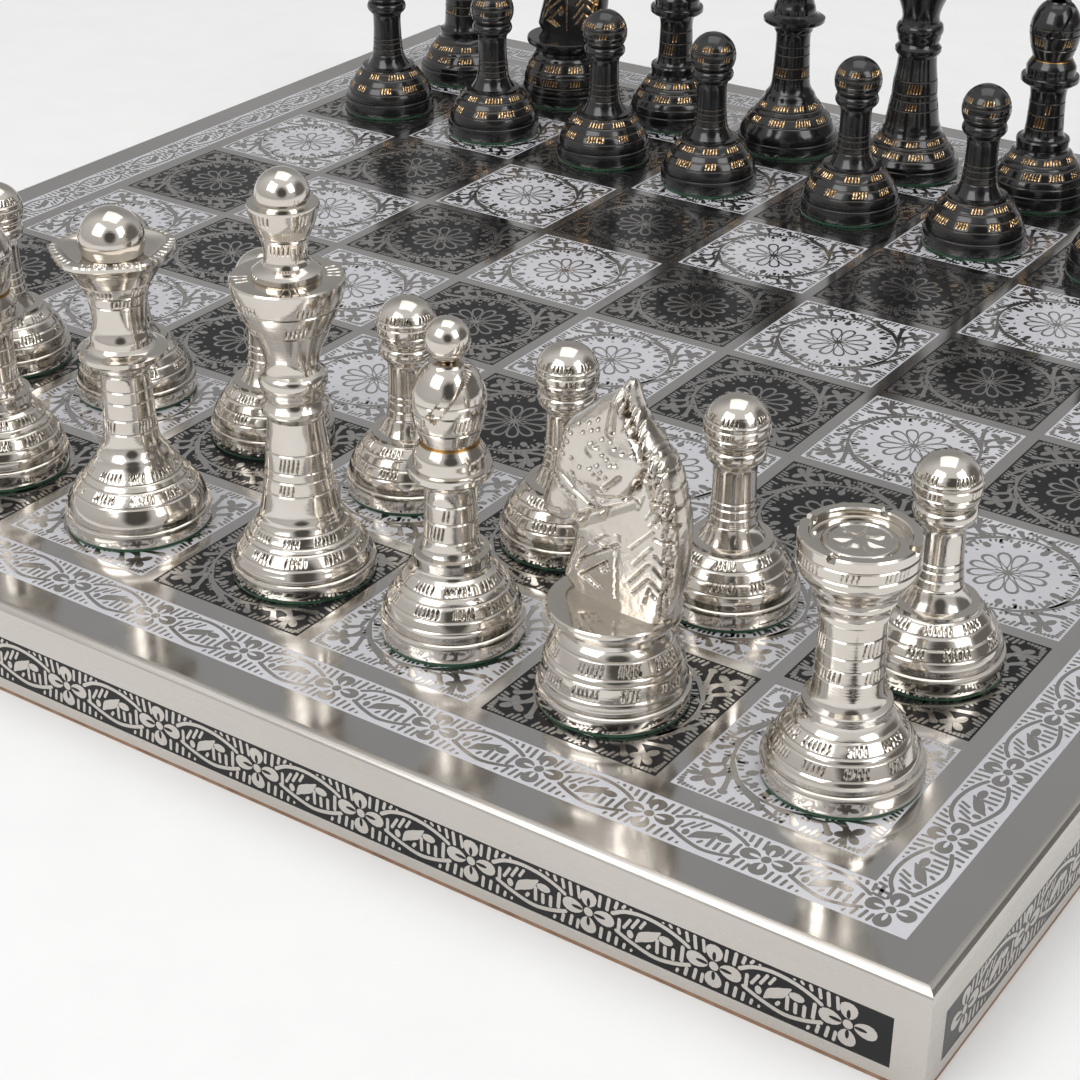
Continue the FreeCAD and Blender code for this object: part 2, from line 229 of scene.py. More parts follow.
def wood(name, light, dark, grain):
    """Plain wood or fibreboard with grain along the given stretch."""
    material, nodes, links, shader = new_material(name)
    coords = coordinates(nodes)
    fibres = noise(nodes, links, coords, 24.0, 8.0, grain)
    links.new(clouded(nodes, links, fibres, light, dark), shader.inputs["Base Color"])
    links.new(spread(nodes, links, fibres, 0.55, 0.80), shader.inputs["Roughness"])
    bump(nodes, links, shader, fibres, 0.35, 0.0004)
    return material


def felt_cloth(name):
    """Dark green baize: matted fibres with a soft sheen."""
    material, nodes, links, shader = new_material(name)
    coords = coordinates(nodes)
    fibres = noise(nodes, links, coords, 1800.0, 6.0)
    green = clouded(nodes, links, fibres, (0.008, 0.050, 0.022), (0.022, 0.100, 0.050))
    links.new(green, shader.inputs["Base Color"])
    shader.inputs["Roughness"].default_value = 0.95
    shader.inputs["Sheen Weight"].default_value = 0.4
    bump(nodes, links, shader, fibres, 0.8, 0.0004)
    return material


NICKEL = polished_nickel("polished_nickel", 0.07, 0.16)
NICKEL_CAST = polished_nickel("cast_nickel", 0.12, 0.24, turned=False)
BLACK = black_lacquer("black_lacquer")
PLATE = satin_nickel("etched_nickel", 0.07, 0.18, (0.70, 0.685, 0.67), (0.60, 0.59, 0.575), (3.0, 0.3, 1.0))
# etched pattern: the same nickel as the plate, given darker tones as a painted dark reflection of its
# surroundings
PATTERN = satin_nickel("etched_pattern", 0.12, 0.26, (0.60, 0.585, 0.565), (0.50, 0.485, 0.465),
                       (2.0, 2.0, 1.0))
SATIN = satin_nickel("satin_nickel", 0.18, 0.32, (0.66, 0.625, 0.585), (0.57, 0.54, 0.50), (0.4, 0.4, 12.0))
WHITE = lacquer("white_enamel", (0.60, 0.60, 0.63), (0.52, 0.52, 0.555), 0.12, 0.30, 0.5)
DARK = lacquer("black_enamel", (0.010, 0.010, 0.011), (0.020, 0.019, 0.020), 0.08, 0.22, 0.22)
CORE = wood("core_wood", (0.46, 0.31, 0.18), (0.33, 0.21, 0.11), (1.0, 12.0, 4.0))
PANEL = wood("panel_wood", (0.33, 0.20, 0.12), (0.20, 0.11, 0.06), (12.0, 1.0, 4.0))
FELT = felt_cloth("green_felt")
SEAM = satin_nickel("brass_seam", 0.20, 0.40, (0.42, 0.26, 0.10), (0.26, 0.15, 0.06), (1.0, 1.0, 1.0))


# ---------------------------------------------------------------- meshes
def make_object(name, mesh, material, body, at=(0.0, 0.0, 0.0), turn=0.0):
    piece = bpy.data.objects.new(name, mesh)
    bpy.context.scene.collection.objects.link(piece)
    if not mesh.materials:
        mesh.materials.append(material)
    piece.location = at
    piece.rotation_euler = (0.0, 0.0, math.radians(turn))
    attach(piece, body)
    return piece


def mesh_of(name, verts, faces, smooth=True, sharp=35.0, cut=None):
    """Mesh from vertices in millimetres."""
    mesh = bpy.data.meshes.new(name)
    mesh.from_pydata((np.asarray(verts, float) * MM).tolist(), [], faces)
    if cut is not None:
        attribute = mesh.attributes.new("cut", "FLOAT", "POINT")
        attribute.data.foreach_set("value", np.asarray(cut, np.float32))
    if smooth:
        mesh.polygons.foreach_set("use_smooth", [True] * len(mesh.polygons))
        mesh.set_sharp_from_angle(angle=math.radians(sharp))
    mesh.update()
    return mesh


def arc(centre_radius, centre_height, radius, start, end, steps):
    points = []
    for i in range(steps + 1):
        angle = math.radians(start + (end - start) * i / steps)
        points.append((centre_radius + radius * math.cos(angle), centre_height + radius * math.sin(angle)))
    return points


def smooth_profile(points, step, corner=24.0):
    """Profile with gentle bends rounded and sharp corners kept, in steps of about the given length."""
    p = np.array(points, float)
    legs = np.diff(p, axis=0)
    heading = np.degrees(np.arctan2(legs[:, 1], legs[:, 0]))
    turn = np.abs((np.diff(heading) + 180.0) % 360.0 - 180.0)
    is_corner = np.concatenate([[True], turn > corner, [True]])
    rows = [p[0]]
    for i in range(len(p) - 1):
        start, end = p[i], p[i + 1]
        before = 2 * start - end if is_corner[i] else p[i - 1]
        after = 2 * end - start if is_corner[i + 1] else p[i + 2]
        length = np.linalg.norm(end - start)
        reach_before = max(np.linalg.norm(start - before), 1e-6)
        reach_after = max(np.linalg.norm(after - end), 1e-6)
        out = (end - before) / (reach_before + length) * length
        into = (after - start) / (length + reach_after) * length
        count = max(1, int(math.ceil(length / step)))
        for k in range(1, count + 1):
            t = k / count
            rows.append((2 * t**3 - 3 * t**2 + 1) * start + (t**3 - 2 * t**2 + t) * out
                        + (3 * t**2 - 2 * t**3) * end + (t**3 - t**2) * into)
    return np.array(rows)


def insert_heights(rows, heights):
    """Add a row at each height, where the profile first climbs past it."""
    result = [tuple(row) for row in rows]
    for height in heights:
        for i in range(len(result) - 1):
            (r0, z0), (r1, z1) = result[i], result[i + 1]
            if z0 < height <= z1:
                if min(height - z0, z1 - height) > 0.02:
                    t = (height - z0) / (z1 - z0)
                    result.insert(i + 1, (r0 + (r1 - r0) * t, height))
                break
    return np.array(result)


COLUMNS = 300             # steps round each turned piece
LINE_HALF = 0.24          # half-width of a turned line
LINE_DEPTH = 0.20
LINE_SHADE = 0.35         # how far a turned line takes on the colour of a cut: painted shade on the nickel, bare brass on the lacquer
BAND_STEP = 0.40          # height of the rows that carry the cuts
CUT_DEPTH = 0.30          # depth of the chisel cuts
CUT_HALF = 0.26           # their half-width
CUT_PITCH = 0.86          # and their spacing within a group
CUT_SLANT = 0.16          # how far a cut leans, per millimetre of height


def chisel_groups(band, seed):
    """Angles (degrees) and strengths of the cuts of one band."""
    low, high, groups, per_group, radius = band
    chance = random.Random(seed)
    cuts = []
    for group in range(groups):
        middle = 360.0 * (group + chance.uniform(-0.10, 0.10)) / groups + seed * 11.0
        count = per_group + chance.choice((-1, 0, 0, 1))
        for k in range(count):
            offset = (k - (count - 1) / 2) * CUT_PITCH * chance.uniform(0.93, 1.07)
            cuts.append((middle + math.degrees(offset / radius), chance.uniform(0.75, 1.15)))
    return cuts


def turned(name, profile, lines=(), bands=(), step=0.75, plan=None, seed=1):
    """Lathe-turned solid with turned lines and bands of hand-chiselled cuts. Profile in millimetres."""
    rows = smooth_profile(profile, step)
    heights = []
    for height in lines:
        heights += [height - LINE_HALF, height, height + LINE_HALF]
    for band in bands:
        low, high = band[0], band[1]
        count = max(4, int((high - low) / BAND_STEP))
        heights += [low + (high - low) * i / count for i in range(count + 1)]
        heights += [low - 0.12, high + 0.12]
    rows = insert_heights(rows, sorted(heights))
    r, z = rows[:, 0], rows[:, 1]
    angle = np.arange(COLUMNS) * 2 * math.pi / COLUMNS
    radius = np.repeat(r[:, None], COLUMNS, axis=1)
    height = np.repeat(z[:, None], COLUMNS, axis=1)
    outside = np.concatenate([[True], np.diff(z) >= -1e-9])
    # cut marks the turned lines and chisel cuts: painted shade there on the nickel, bare brass on the
    # lacquer
    cut = np.zeros_like(radius)
    depth = np.zeros_like(radius)
    for line in lines:
        amount = np.clip(1.0 - np.abs(z - line) / LINE_HALF, 0, 1) * outside
        depth = np.maximum(depth, LINE_DEPTH * amount[:, None])
        cut = np.maximum(cut, LINE_SHADE * amount[:, None])
    for index, band in enumerate(bands):
        low, high = band[0], band[1]
        inside = (z > low - 0.01) & (z < high + 0.01) & outside
        along = np.clip((z - low) / (high - low), 0, 1)
        fade = np.clip(np.minimum(along, 1 - along) * 8.0, 0, 1) * inside
        half = CUT_HALF * (0.65 + 0.5 * (1 - along))
        lean = CUT_SLANT * (z - (low + high) / 2)
        for centre, strength in chisel_groups(band, seed + index):
            gap = angle[None, :] - math.radians(centre)
            gap = (gap + math.pi) % (2 * math.pi) - math.pi
            gap = np.abs(gap * np.maximum(r, 0.1)[:, None] - lean[:, None])
            amount = np.clip(1.25 * (1.0 - gap / half[:, None]), 0, 1) * fade[:, None]
            depth = np.maximum(depth, CUT_DEPTH * strength * amount)
            cut = np.maximum(cut, amount)
    if plan:
        radius, height = plan(radius, height, angle)
    radius = np.maximum(radius - depth, 0.0)
    return revolve_grid(name, radius, height, angle, cut)


def revolve_grid(name, radius, height, angle, cut):
    """Close a grid of rings into a solid, with a pole or a flat cap at each end."""
    count, columns = radius.shape
    verts = np.stack([radius * np.cos(angle), radius * np.sin(angle), height], axis=-1).reshape(-1, 3)
    first = np.arange(count - 1)[:, None] * columns + np.arange(columns)[None, :]
    right = np.arange(count - 1)[:, None] * columns + (np.arange(columns)[None, :] + 1) % columns
    quads = np.stack([first, right, right + columns, first + columns], axis=-1).reshape(-1, 4).tolist()
    low = len(verts)
    verts = np.vstack([verts, [0, 0, height[0].mean()], [0, 0, height[-1].mean()]])
    faces = quads
    last = (count - 1) * columns
    for k in range(columns):
        after = (k + 1) % columns
        faces.append([low, after, k])
        faces.append([low + 1, last + k, last + after])
    values = np.concatenate([cut.reshape(-1), [0.0, 0.0]])
    return mesh_of(name, verts, faces, cut=values)


# ---------------------------------------------------------------- profiles of the pieces (radius, height)
FELT_THICK = 0.6


def plinth(base, rise=0.0):
    """Foot disc up to the groove under the bell; rise makes it thicker."""
    return [
        (base - 0.5, FELT_THICK), (base - 0.12, FELT_THICK + 0.12), (base, FELT_THICK + 0.45),
        (base, 3.2 + rise), (base - 0.12, 3.5 + rise), (base - 0.45, 3.7 + rise), (base - 0.8, 3.8 + rise),
        (base - 0.85, 4.1 + rise), (base - 0.55, 4.35 + rise), (base - 0.6, 4.75 + rise),
    ]


PAWN_BASE = 13.4
ROOK_BASE = 13.9
KNIGHT_BASE = 13.9
BISHOP_BASE = 13.5
KING_BASE = 14.1
QUEEN_BASE = 14.65
THICK_FOOT = 0.65         # pawns, rooks and bishops stand on a slightly thicker foot
PAWN = plinth(PAWN_BASE, THICK_FOOT) + [
    (12.75, 5.75), (12.35, 6.85), (11.6, 8.45), (10.6, 9.95), (9.5, 11.45), (8.4, 12.65),
    (7.9, 13.05), (7.85, 13.65), (6.3, 13.85), (5.5, 15.05), (4.95, 16.25), (4.6, 17.85),
    (4.35, 20.25), (4.2, 22.65), (4.1, 26.15), (4.2, 28.65), (4.6, 29.55), (5.3, 30.15),
    (5.75, 30.95), (5.8, 31.75), (5.5, 32.55), (4.9, 33.05),
] + arc(0, 36.5, 6.3, -29, 88, 18)
ROOK = plinth(ROOK_BASE, THICK_FOOT) + [
    (12.75, 5.75), (12.3, 6.85), (11.5, 8.45), (10.5, 10.05), (9.2, 11.55), (8.3, 12.65),
    (7.6, 13.15), (7.45, 13.95), (7.6, 15.05), (7.5, 15.45), (6.6, 15.85), (6.15, 16.85),
    (5.95, 18.65), (5.8, 21.65), (5.65, 26.65), (5.6, 31.25), (5.95, 31.55), (6.0, 32.05),
    (5.85, 32.35), (6.0, 33.25), (6.6, 34.55), (6.95, 34.95), (6.85, 35.35), (7.1, 36.25),
    (7.6, 37.15), (8.6, 38.35), (9.5, 39.55), (10.05, 40.65), (10.05, 45.85), (9.75, 46.15),
    (8.3, 46.15), (8.1, 45.9), (8.1, 44.6), (7.85, 44.45), (6.3, 44.45), (6.1, 44.85), (5.85, 45.0),
    (5.3, 44.95), (5.1, 44.7), (3.0, 44.8), (0.3, 44.85),
]
KNIGHT = plinth(KNIGHT_BASE) + [
    (13.05, 5.2), (12.9, 7.0), (12.4, 9.2), (11.7, 11.0), (10.8, 12.9), (10.2, 14.1),
    (9.6, 14.8), (9.5, 15.6), (10.3, 16.7), (11.4, 17.4), (12.0, 17.9), (12.1, 18.3),
    (12.05, 19.2), (11.8, 19.5), (6.0, 19.55), (0.3, 19.6),
]
BISHOP = plinth(BISHOP_BASE, THICK_FOOT) + [
    (12.85, 5.75), (12.6, 6.65), (12.1, 7.85), (11.5, 8.85), (10.5, 10.55), (9.3, 12.15),
    (8.2, 13.75), (7.35, 14.25), (7.0, 15.05), (7.15, 16.45), (7.25, 17.15), (7.0, 17.6),
    (5.9, 17.85), (5.4, 18.65), (5.15, 20.25), (5.0, 22.65), (4.85, 26.65), (4.8, 29.25),
    (5.0, 31.05), (5.6, 32.05), (7.2, 32.85), (7.75, 33.4),
    (7.8, 34.6), (7.6, 34.95), (6.75, 35.1), (6.65, 35.5), (6.65, 37.3), (6.2, 38.2), (5.5, 39.25),
    (0.3, 39.25),
]
MITRE = [
    (5.0, 39.25), (5.5, 40.65), (6.1, 42.55), (6.55, 44.65), (6.8, 46.65), (6.8, 47.95),
    (6.5, 49.65), (5.9, 51.15), (5.3, 52.35), (4.4, 53.55), (3.4, 54.45), (3.2, 54.85),
] + arc(0, 58.85, 4.15, -70, 87, 16)
KING = plinth(KING_BASE) + [
    (13.2, 5.1), (12.7, 6.2), (11.8, 7.6), (10.7, 9.0), (9.7, 10.3), (8.8, 11.8),
    (8.2, 12.8), (8.05, 13.6), (7.75, 14.3), (7.5, 15.2), (6.95, 19.0), (6.45, 22.0),
    (6.04, 27.0), (5.57, 30.5), (5.35, 33.4), (5.88, 34.1), (6.41, 34.9), (6.41, 35.9),
    (5.67, 36.8), (5.46, 37.3), (5.88, 38.2), (6.09, 39.4), (6.46, 40.3), (6.51, 41.2),
    (6.2, 42.3), (5.35, 43.0), (5.09, 44.3), (5.35, 46.0), (6.04, 48.0), (6.93, 50.0),
    (7.88, 52.0), (8.82, 54.0), (9.61, 56.0), (10.24, 58.0), (10.61, 60.0), (10.66, 61.0),
    (10.4, 61.3), (6.0, 61.32), (0.3, 61.32),
]
KING_CROWN = [
    (6.2, 61.3), (6.46, 61.6), (6.41, 62.6), (5.67, 63.2), (4.41, 63.9), (3.99, 64.8),
    (4.09, 66.8), (4.62, 69.1), (5.88, 72.1), (6.2, 73.4), (6.62, 75.0), (6.51, 75.4),
    (5.15, 75.6),
] + arc(0, 76.8, 5.0, -12, 88, 12)
QUEEN = plinth(QUEEN_BASE) + [
    (14.0, 5.1), (13.6, 6.3), (12.9, 7.6), (12.1, 8.9), (10.7, 10.6), (9.4, 12.2),
    (8.1, 13.9), (7.4, 15.0), (7.1, 15.8), (6.3, 16.8), (5.7, 18.2), (5.4, 20.4),
    (5.2, 24.0), (5.0, 28.0), (4.9, 32.0), (5.0, 33.4), (5.5, 34.2), (5.6, 34.9),
    (6.7, 35.7), (8.2, 36.4), (8.75, 36.9), (8.8, 37.8), (8.3, 38.1), (6.9, 38.5),
    (6.05, 39.4), (5.95, 40.8), (5.6, 41.7), (5.3, 42.8), (5.25, 44.5), (5.45, 46.5),
    (5.8, 48.5), (6.3, 50.4), (7.2, 52.2), (8.5, 54.1), (9.9, 55.9), (11.2, 57.2),
    (11.6, 57.5), (11.95, 57.9), (12.0, 58.6), (11.75, 58.95), (10.2, 59.0), (9.9, 58.7),
    (8.5, 58.0), (6.0, 57.6), (0.3, 57.6),
]
ORB = arc(0, 60.25, 6.4, -24, 88, 18)

# Heights of the turned lines
PAWN_LINES = (7.15, 9.15, 10.95, 12.85, 17.15, 18.95, 20.75, 22.05, 34.25, 35.75, 37.55, 38.65)
ROOK_LINES = (6.55, 8.95, 9.85, 11.85, 20.65, 23.15, 25.55, 28.75, 41.95, 44.05)
KNIGHT_LINES = (6.2, 9.2, 10.4, 13.2)
BISHOP_LINES = (6.55, 8.35, 10.65, 11.85, 20.65, 24.45, 27.85)
MITRE_LINES = (42.65, 46.35, 48.15)
KING_LINES = (6.4, 8.7, 9.6, 11.6, 19.0, 21.7, 23.5, 27.2, 51.8, 56.4)
CROWN_LINES = (69.2,)
QUEEN_LINES = (8.4, 10.8, 12.0, 21.0, 24.0, 27.5, 30.0, 48.0, 50.2, 52.4)

# Bands of chisel cuts: (low, high, groups round the piece, cuts in a group, radius there)
PAWN_BANDS = (
    (7.55, 9.55, 9, 5, 11.8), (11.15, 12.65, 8, 5, 9.2), (38.65, 40.15, 6, 4, 5.8),
    (35.75, 37.25, 5, 3, 6.2),
)
ROOK_BANDS = (
    (6.85, 8.65, 10, 5, 11.8), (10.05, 11.55, 9, 5, 9.9), (20.85, 23.05, 5, 4, 5.8),
    (25.75, 28.65, 4, 4, 5.6), (42.15, 43.85, 8, 5, 9.9),
)
KNIGHT_BANDS = ((6.6, 8.8, 10, 5, 12.8), (10.7, 12.9, 9, 5, 11.2))
BISHOP_BANDS = (
    (8.55, 10.45, 9, 5, 11.2), (12.05, 13.75, 8, 5, 8.9), (21.05, 24.15, 4, 4, 5.1),
    (24.95, 27.55, 4, 3, 4.9),
)
MITRE_BANDS = ((43.65, 45.85, 5, 4, 6.8),)
KING_BANDS = (
    (6.7, 8.5, 10, 5, 12.0), (9.8, 11.4, 9, 5, 9.6), (19.3, 21.4, 4, 4, 6.8),
    (23.8, 26.8, 4, 4, 6.1), (52.2, 54.5, 6, 4, 8.3), (56.8, 58.6, 6, 4, 9.8),
)
CROWN_BANDS = ((66.5, 68.5, 4, 4, 4.2), (72.6, 74.6, 5, 3, 6.2))
QUEEN_BANDS = (
    (8.8, 10.6, 10, 5, 11.6), (12.3, 14.0, 9, 5, 8.9), (21.3, 23.8, 4, 4, 5.3),
    (48.3, 50.0, 5, 4, 6.1), (50.5, 52.2, 6, 4, 6.9),
)


CROWN_CORNERS = 5
CROWN_TURN = 275.4        # where one corner of the queen's crown points
TICK_PITCH = 0.1257       # angle between the ticks on its rim
TICK_WIDTH = 0.040
SLOT_LEAN = 38.0          # slot of the bishop's mitre: its slope from the upright
SLOT_MIDDLE = 49.8        # height where it crosses the axis
SLOT_HALF = 0.95          # half-width
SLOT_FOOT = -4.95         # lower end, measured along the slot
SLOT_DEPTH = 1.1


def coronet(radius, height, angle):
    """Shape the queen's bell into a rounded pentagon towards its rim, with ticks on the flat of the rim."""
    sector = 2 * math.pi / CROWN_CORNERS
    off = (angle - math.radians(CROWN_TURN) + sector / 2) % sector - sector / 2
    share = np.clip((height - 51.0) / 6.5, 0, 1) * np.clip((radius - 6.2) / 4.0, 0, 1)
    gentle = 0.985 + 0.035 * np.cos(off * CROWN_CORNERS)
    ticks = (np.abs(off) % TICK_PITCH < TICK_WIDTH) & (np.abs(off) > 0.12)
    on_rim = (radius > 10.5) & (height > 58.6)
    height = height - 0.22 * np.where(on_rim, ticks[None, :], 0.0)
    return radius * (1 - share + share * gentle), height


def rook_plan(radius, height, angle):
    """Four narrow slots across the rim."""
    for turn in range(4):
        off = (angle - turn * math.pi / 2 + math.pi) % (2 * math.pi) - math.pi
        across = np.abs(off[None, :] * radius)
        on_rim = (radius > 7.9) & (height > 45.2)
        height = np.where(on_rim & (across < 0.65), np.minimum(height, 45.15), height)
    return radius, height


def mitre_plan(radius, height, angle):
    """The slanted slot sawn into the front of the bishop's mitre."""
    x, y = radius * np.cos(angle), radius * np.sin(angle)
    lean = math.radians(SLOT_LEAN)
    across = x * math.cos(lean) - (height - SLOT_MIDDLE) * math.sin(lean)
    along = x * math.sin(lean) + (height - SLOT_MIDDLE) * math.cos(lean)
    inside = (np.abs(across) < SLOT_HALF) & (y < -0.3) & (along > SLOT_FOOT) & (height < 54.5)
    return np.where(inside, np.maximum(radius - SLOT_DEPTH, 1.0), radius), height


def deck_plan(radius, height, angle):
    """Groups of radial ticks struck into the flat shoulder under the king's crown."""
    degrees = np.degrees(angle)
    ticks = (degrees % 9.6 < 2.3) & (degrees % 90.0 < 32.0)
    on_deck = (radius > 7.0) & (radius < 9.7) & (height > 61.2)
    return radius, height - 0.15 * np.where(on_deck, ticks[None, :], 0.0)


def rosette_plan(radius, height, angle):
    """Slots of the rim and the chased petals in the middle of the rook's dish."""
    radius, height = rook_plan(radius, height, angle)
    waves = np.abs(np.sin(3.5 * angle))[None, :]**0.7
    petals = 0.45 * waves * np.clip(1 - np.abs(radius - 3.1) / 2.1, 0, 1)
    return radius, height - np.where(height < 45.1, petals * (radius < 5.2), 0.0)


# ---------------------------------------------------------------- the horse's head (nose towards -X)
THROAT_SIDE = [
    (-9.0, 19.5), (-10.4, 21.6), (-9.9, 23.8), (-9.2, 26.3), (-8.3, 28.9), (-7.7, 31.6),
    (-7.9, 32.15), (-10.6, 32.25), (-12.8, 32.45), (-14.2, 33.4), (-14.9, 35.0), (-14.6, 36.6),
    (-13.6, 39.2), (-12.8, 41.3), (-12.4, 43.8), (-11.8, 46.6), (-10.8, 49.5), (-9.2, 52.2),
    (-6.7, 54.4), (-4.1, 56.6), (-3.0, 57.8), (-1.1, 59.2), (0.9, 60.9), (1.6, 61.8), (2.2, 62.4),
]
MANE_SIDE = [
    (11.2, 19.5), (12.2, 21.5), (13.2, 24.7), (13.8, 27.9), (14.2, 31.8), (14.2, 36.5), (13.8, 40.2),
    (12.9, 43.6), (12.1, 46.7), (11.0, 49.4), (9.1, 51.8), (7.0, 54.2), (5.1, 57.2), (4.2, 59.6),
    (3.7, 61.3), (3.2, 62.4),
]
HEAD_THICKNESS = [(19.5, 3.0), (24.0, 3.6), (30.0, 4.1), (36.0, 4.4), (44.0, 4.6), (50.0, 4.2),
                  (56.0, 3.2), (62.4, 1.8)]

# Rounded swellings of its sides: (x, z, reach along x, reach along z, rise)
HEAD_SWELLS = [
    (1.2, 46.3, 4.6, 4.6, 1.1), (-11.6, 36.4, 2.4, 2.6, 0.5), (-2.5, 49.5, 1.3, 1.3, 0.7),
    (-2.4, 48.8, 3.2, 2.6, -0.6), (1.6, 58.0, 1.8, 3.2, 0.7),
]
# Folds and creases: (path, reach to each side, rise)
HEAD_FOLDS = [
    ([(7.9, 50.2), (7.0, 46.0), (4.4, 42.9), (0.4, 41.2)], 1.0, -1.0),          # round the cheek
    ([(1.2, 53.8), (2.0, 59.6)], 1.5, 1.1),                                     # ear
    ([(-14.6, 34.9), (-9.6, 35.7)], 0.5, -0.6),                                 # mouth
    ([(-9.5, 50.5), (-3.4, 55.5)], 1.6, 0.5),                                   # brow
    ([(-7.6, 33.0), (-4.9, 35.5), (-0.4, 38.4)], 1.5, -1.3),                    # under the jaw
    ([(-0.4, 38.4), (6.3, 42.6)], 1.4, -0.9),
    ([(0.6, 40.8), (6.0, 44.4)], 1.5, 0.6),                                     # jaw bone
    ([(1.9, 60.6), (3.3, 57.0), (5.2, 53.6), (7.2, 50.6), (8.9, 47.6), (10.2, 43.5), (11.0, 40.0)],
     0.75, -1.5),                                                               # in front of the mane
]

# Chased strokes on each side of the head: ((x, z) start, (x, z) end, half-width, depth)
V_STROKES = [
    ((5.9, 33.5), (10.2, 38.1), 0.28, 0.35), ((6.5, 30.6), (9.9, 34.9), 0.28, 0.35),
    ((5.2, 26.6), (9.3, 31.5), 0.28, 0.35), ((5.9, 24.8), (9.1, 28.6), 0.28, 0.35),
    ((8.1, 23.5), (9.3, 26.8), 0.28, 0.35), ((8.0, 51.4), (11.2, 50.3), 0.36, 0.5),
    ((10.2, 48.7), (12.7, 48.0), 0.36, 0.5), ((11.5, 45.6), (13.5, 45.0), 0.32, 0.45),
    ((11.0, 43.6), (13.3, 42.4), 0.36, 0.5), ((11.6, 41.1), (13.6, 39.4), 0.34, 0.5),
    ((10.5, 36.9), (13.3, 36.5), 0.36, 0.5), ((10.5, 33.6), (13.1, 31.9), 0.38, 0.5),
    ((10.2, 31.2), (12.8, 29.1), 0.38, 0.5), ((9.7, 28.2), (12.0, 26.6), 0.38, 0.5),
    ((9.3, 26.1), (10.5, 25.3), 0.36, 0.5), ((8.4, 44.4), (7.3, 41.5), 0.25, 0.3),
    ((9.6, 39.0), (12.2, 42.8), 0.22, 0.3), ((8.7, 40.0), (10.2, 42.5), 0.22, 0.3),
]
CHEST_STROKES = [
    ((-5.8, 26.8), (2.8, 33.3), 0.26, 0.4), ((-5.8, 23.6), (0.7, 29.2), 0.26, 0.4),
    ((-2.4, 31.8), (0.7, 34.4), 0.22, 0.35), ((-6.7, 24.7), (-4.5, 28.5), 0.22, 0.3),
    ((-0.4, 28.0), (0.2, 26.6), 0.15, 0.35), ((0.1, 28.5), (0.7, 27.1), 0.15, 0.35),
    ((0.6, 29.0), (1.2, 27.6), 0.15, 0.35), ((-0.9, 27.5), (-0.4, 26.2), 0.15, 0.35),
    ((-0.4, 32.4), (-0.0, 31.2), 0.15, 0.3), ((0.4, 32.9), (0.9, 31.6), 0.15, 0.3),
    ((-5.3, 23.4), (-2.4, 22.2), 0.18, 0.3), ((-4.6, 23.8), (-1.5, 22.5), 0.18, 0.3),
    ((-3.7, 24.3), (-0.7, 22.9), 0.18, 0.3), ((3.2, 35.2), (2.2, 22.1), 0.2, 0.35),
    ((-5.7, 28.3), (-3.6, 30.6), 0.2, 0.3),
]
FACE_STROKES = [
    ((2.1, 58.7), (1.7, 54.2), 0.45, 0.5), ((3.4, 59.2), (3.1, 54.5), 0.22, 0.3),
    ((5.2, 58.9), (5.7, 55.5), 0.35, 0.4), ((1.1, 43.8), (3.7, 46.6), 0.5, 0.6),
    ((5.3, 43.8), (7.5, 48.3), 0.5, 0.7), ((-8.9, 43.0), (-5.7, 41.1), 0.28, 0.4),
    ((-5.7, 41.1), (-2.2, 39.3), 0.3, 0.5), ((-2.2, 39.3), (-0.5, 39.0), 0.3, 0.5),
]
PUNCHED = [
    (-8.9, 49.6), (-8.1, 51.3), (-7.2, 51.0), (-7.9, 49.2), (-5.5, 53.3), (-4.6, 52.1), (-3.4, 54.1),
    (-1.8, 55.1), (-1.6, 53.5), (-2.9, 52.9), (-0.6, 52.1), (1.2, 52.2), (2.2, 51.2), (3.8, 50.8),
    (5.5, 51.0), (-9.0, 48.2), (-8.8, 46.7), (-6.7, 46.7), (-6.3, 44.1), (-4.7, 45.9), (-4.5, 42.9),
    (-2.4, 46.4), (-1.5, 45.7), (-0.0, 46.6), (-0.1, 49.5), (1.0, 49.1), (-0.3, 45.3), (1.2, 46.0),
    (1.8, 48.4), (-2.7, 43.0), (-0.9, 47.4), (-0.0, 43.0), (-2.0, 41.0), (2.8, 48.6), (-10.8, 41.6),
    (-9.9, 41.3), (-9.0, 40.5), (-7.7, 40.1), (-5.8, 39.7), (-10.3, 43.2), (-1.3, 50.4), (-2.6, 50.8),
]


def along_stroke(x, z, start, end):
    """Distance from a stroke's line."""
    (x0, z0), (x1, z1) = start, end
    length = (x1 - x0)**2 + (z1 - z0)**2
    t = np.clip(((x - x0) * (x1 - x0) + (z - z0) * (z1 - z0)) / length, 0, 1)
    return np.hypot(x - x0 - t * (x1 - x0), z - z0 - t * (z1 - z0))


def edge_distance(x, z):
    outline = np.array(smooth_profile(THROAT_SIDE, 1.0, 60.0).tolist()
                       + smooth_profile(MANE_SIDE[::-1], 1.0, 60.0).tolist())
    nearest = np.full(x.shape, 1e9)
    for (x0, z0), (x1, z1) in zip(outline, outline[1:]):
        if abs(z0 - z1) + abs(x0 - x1) > 1e-9:
            nearest = np.minimum(nearest, along_stroke(x, z, (x0, z0), (x1, z1)))
    return nearest


def swell(x, z, x0, z0, reach_x, reach_z):
    """Rounded bump of height 1."""
    return np.exp(-(((x - x0) / reach_x)**2 + ((z - z0) / reach_z)**2))


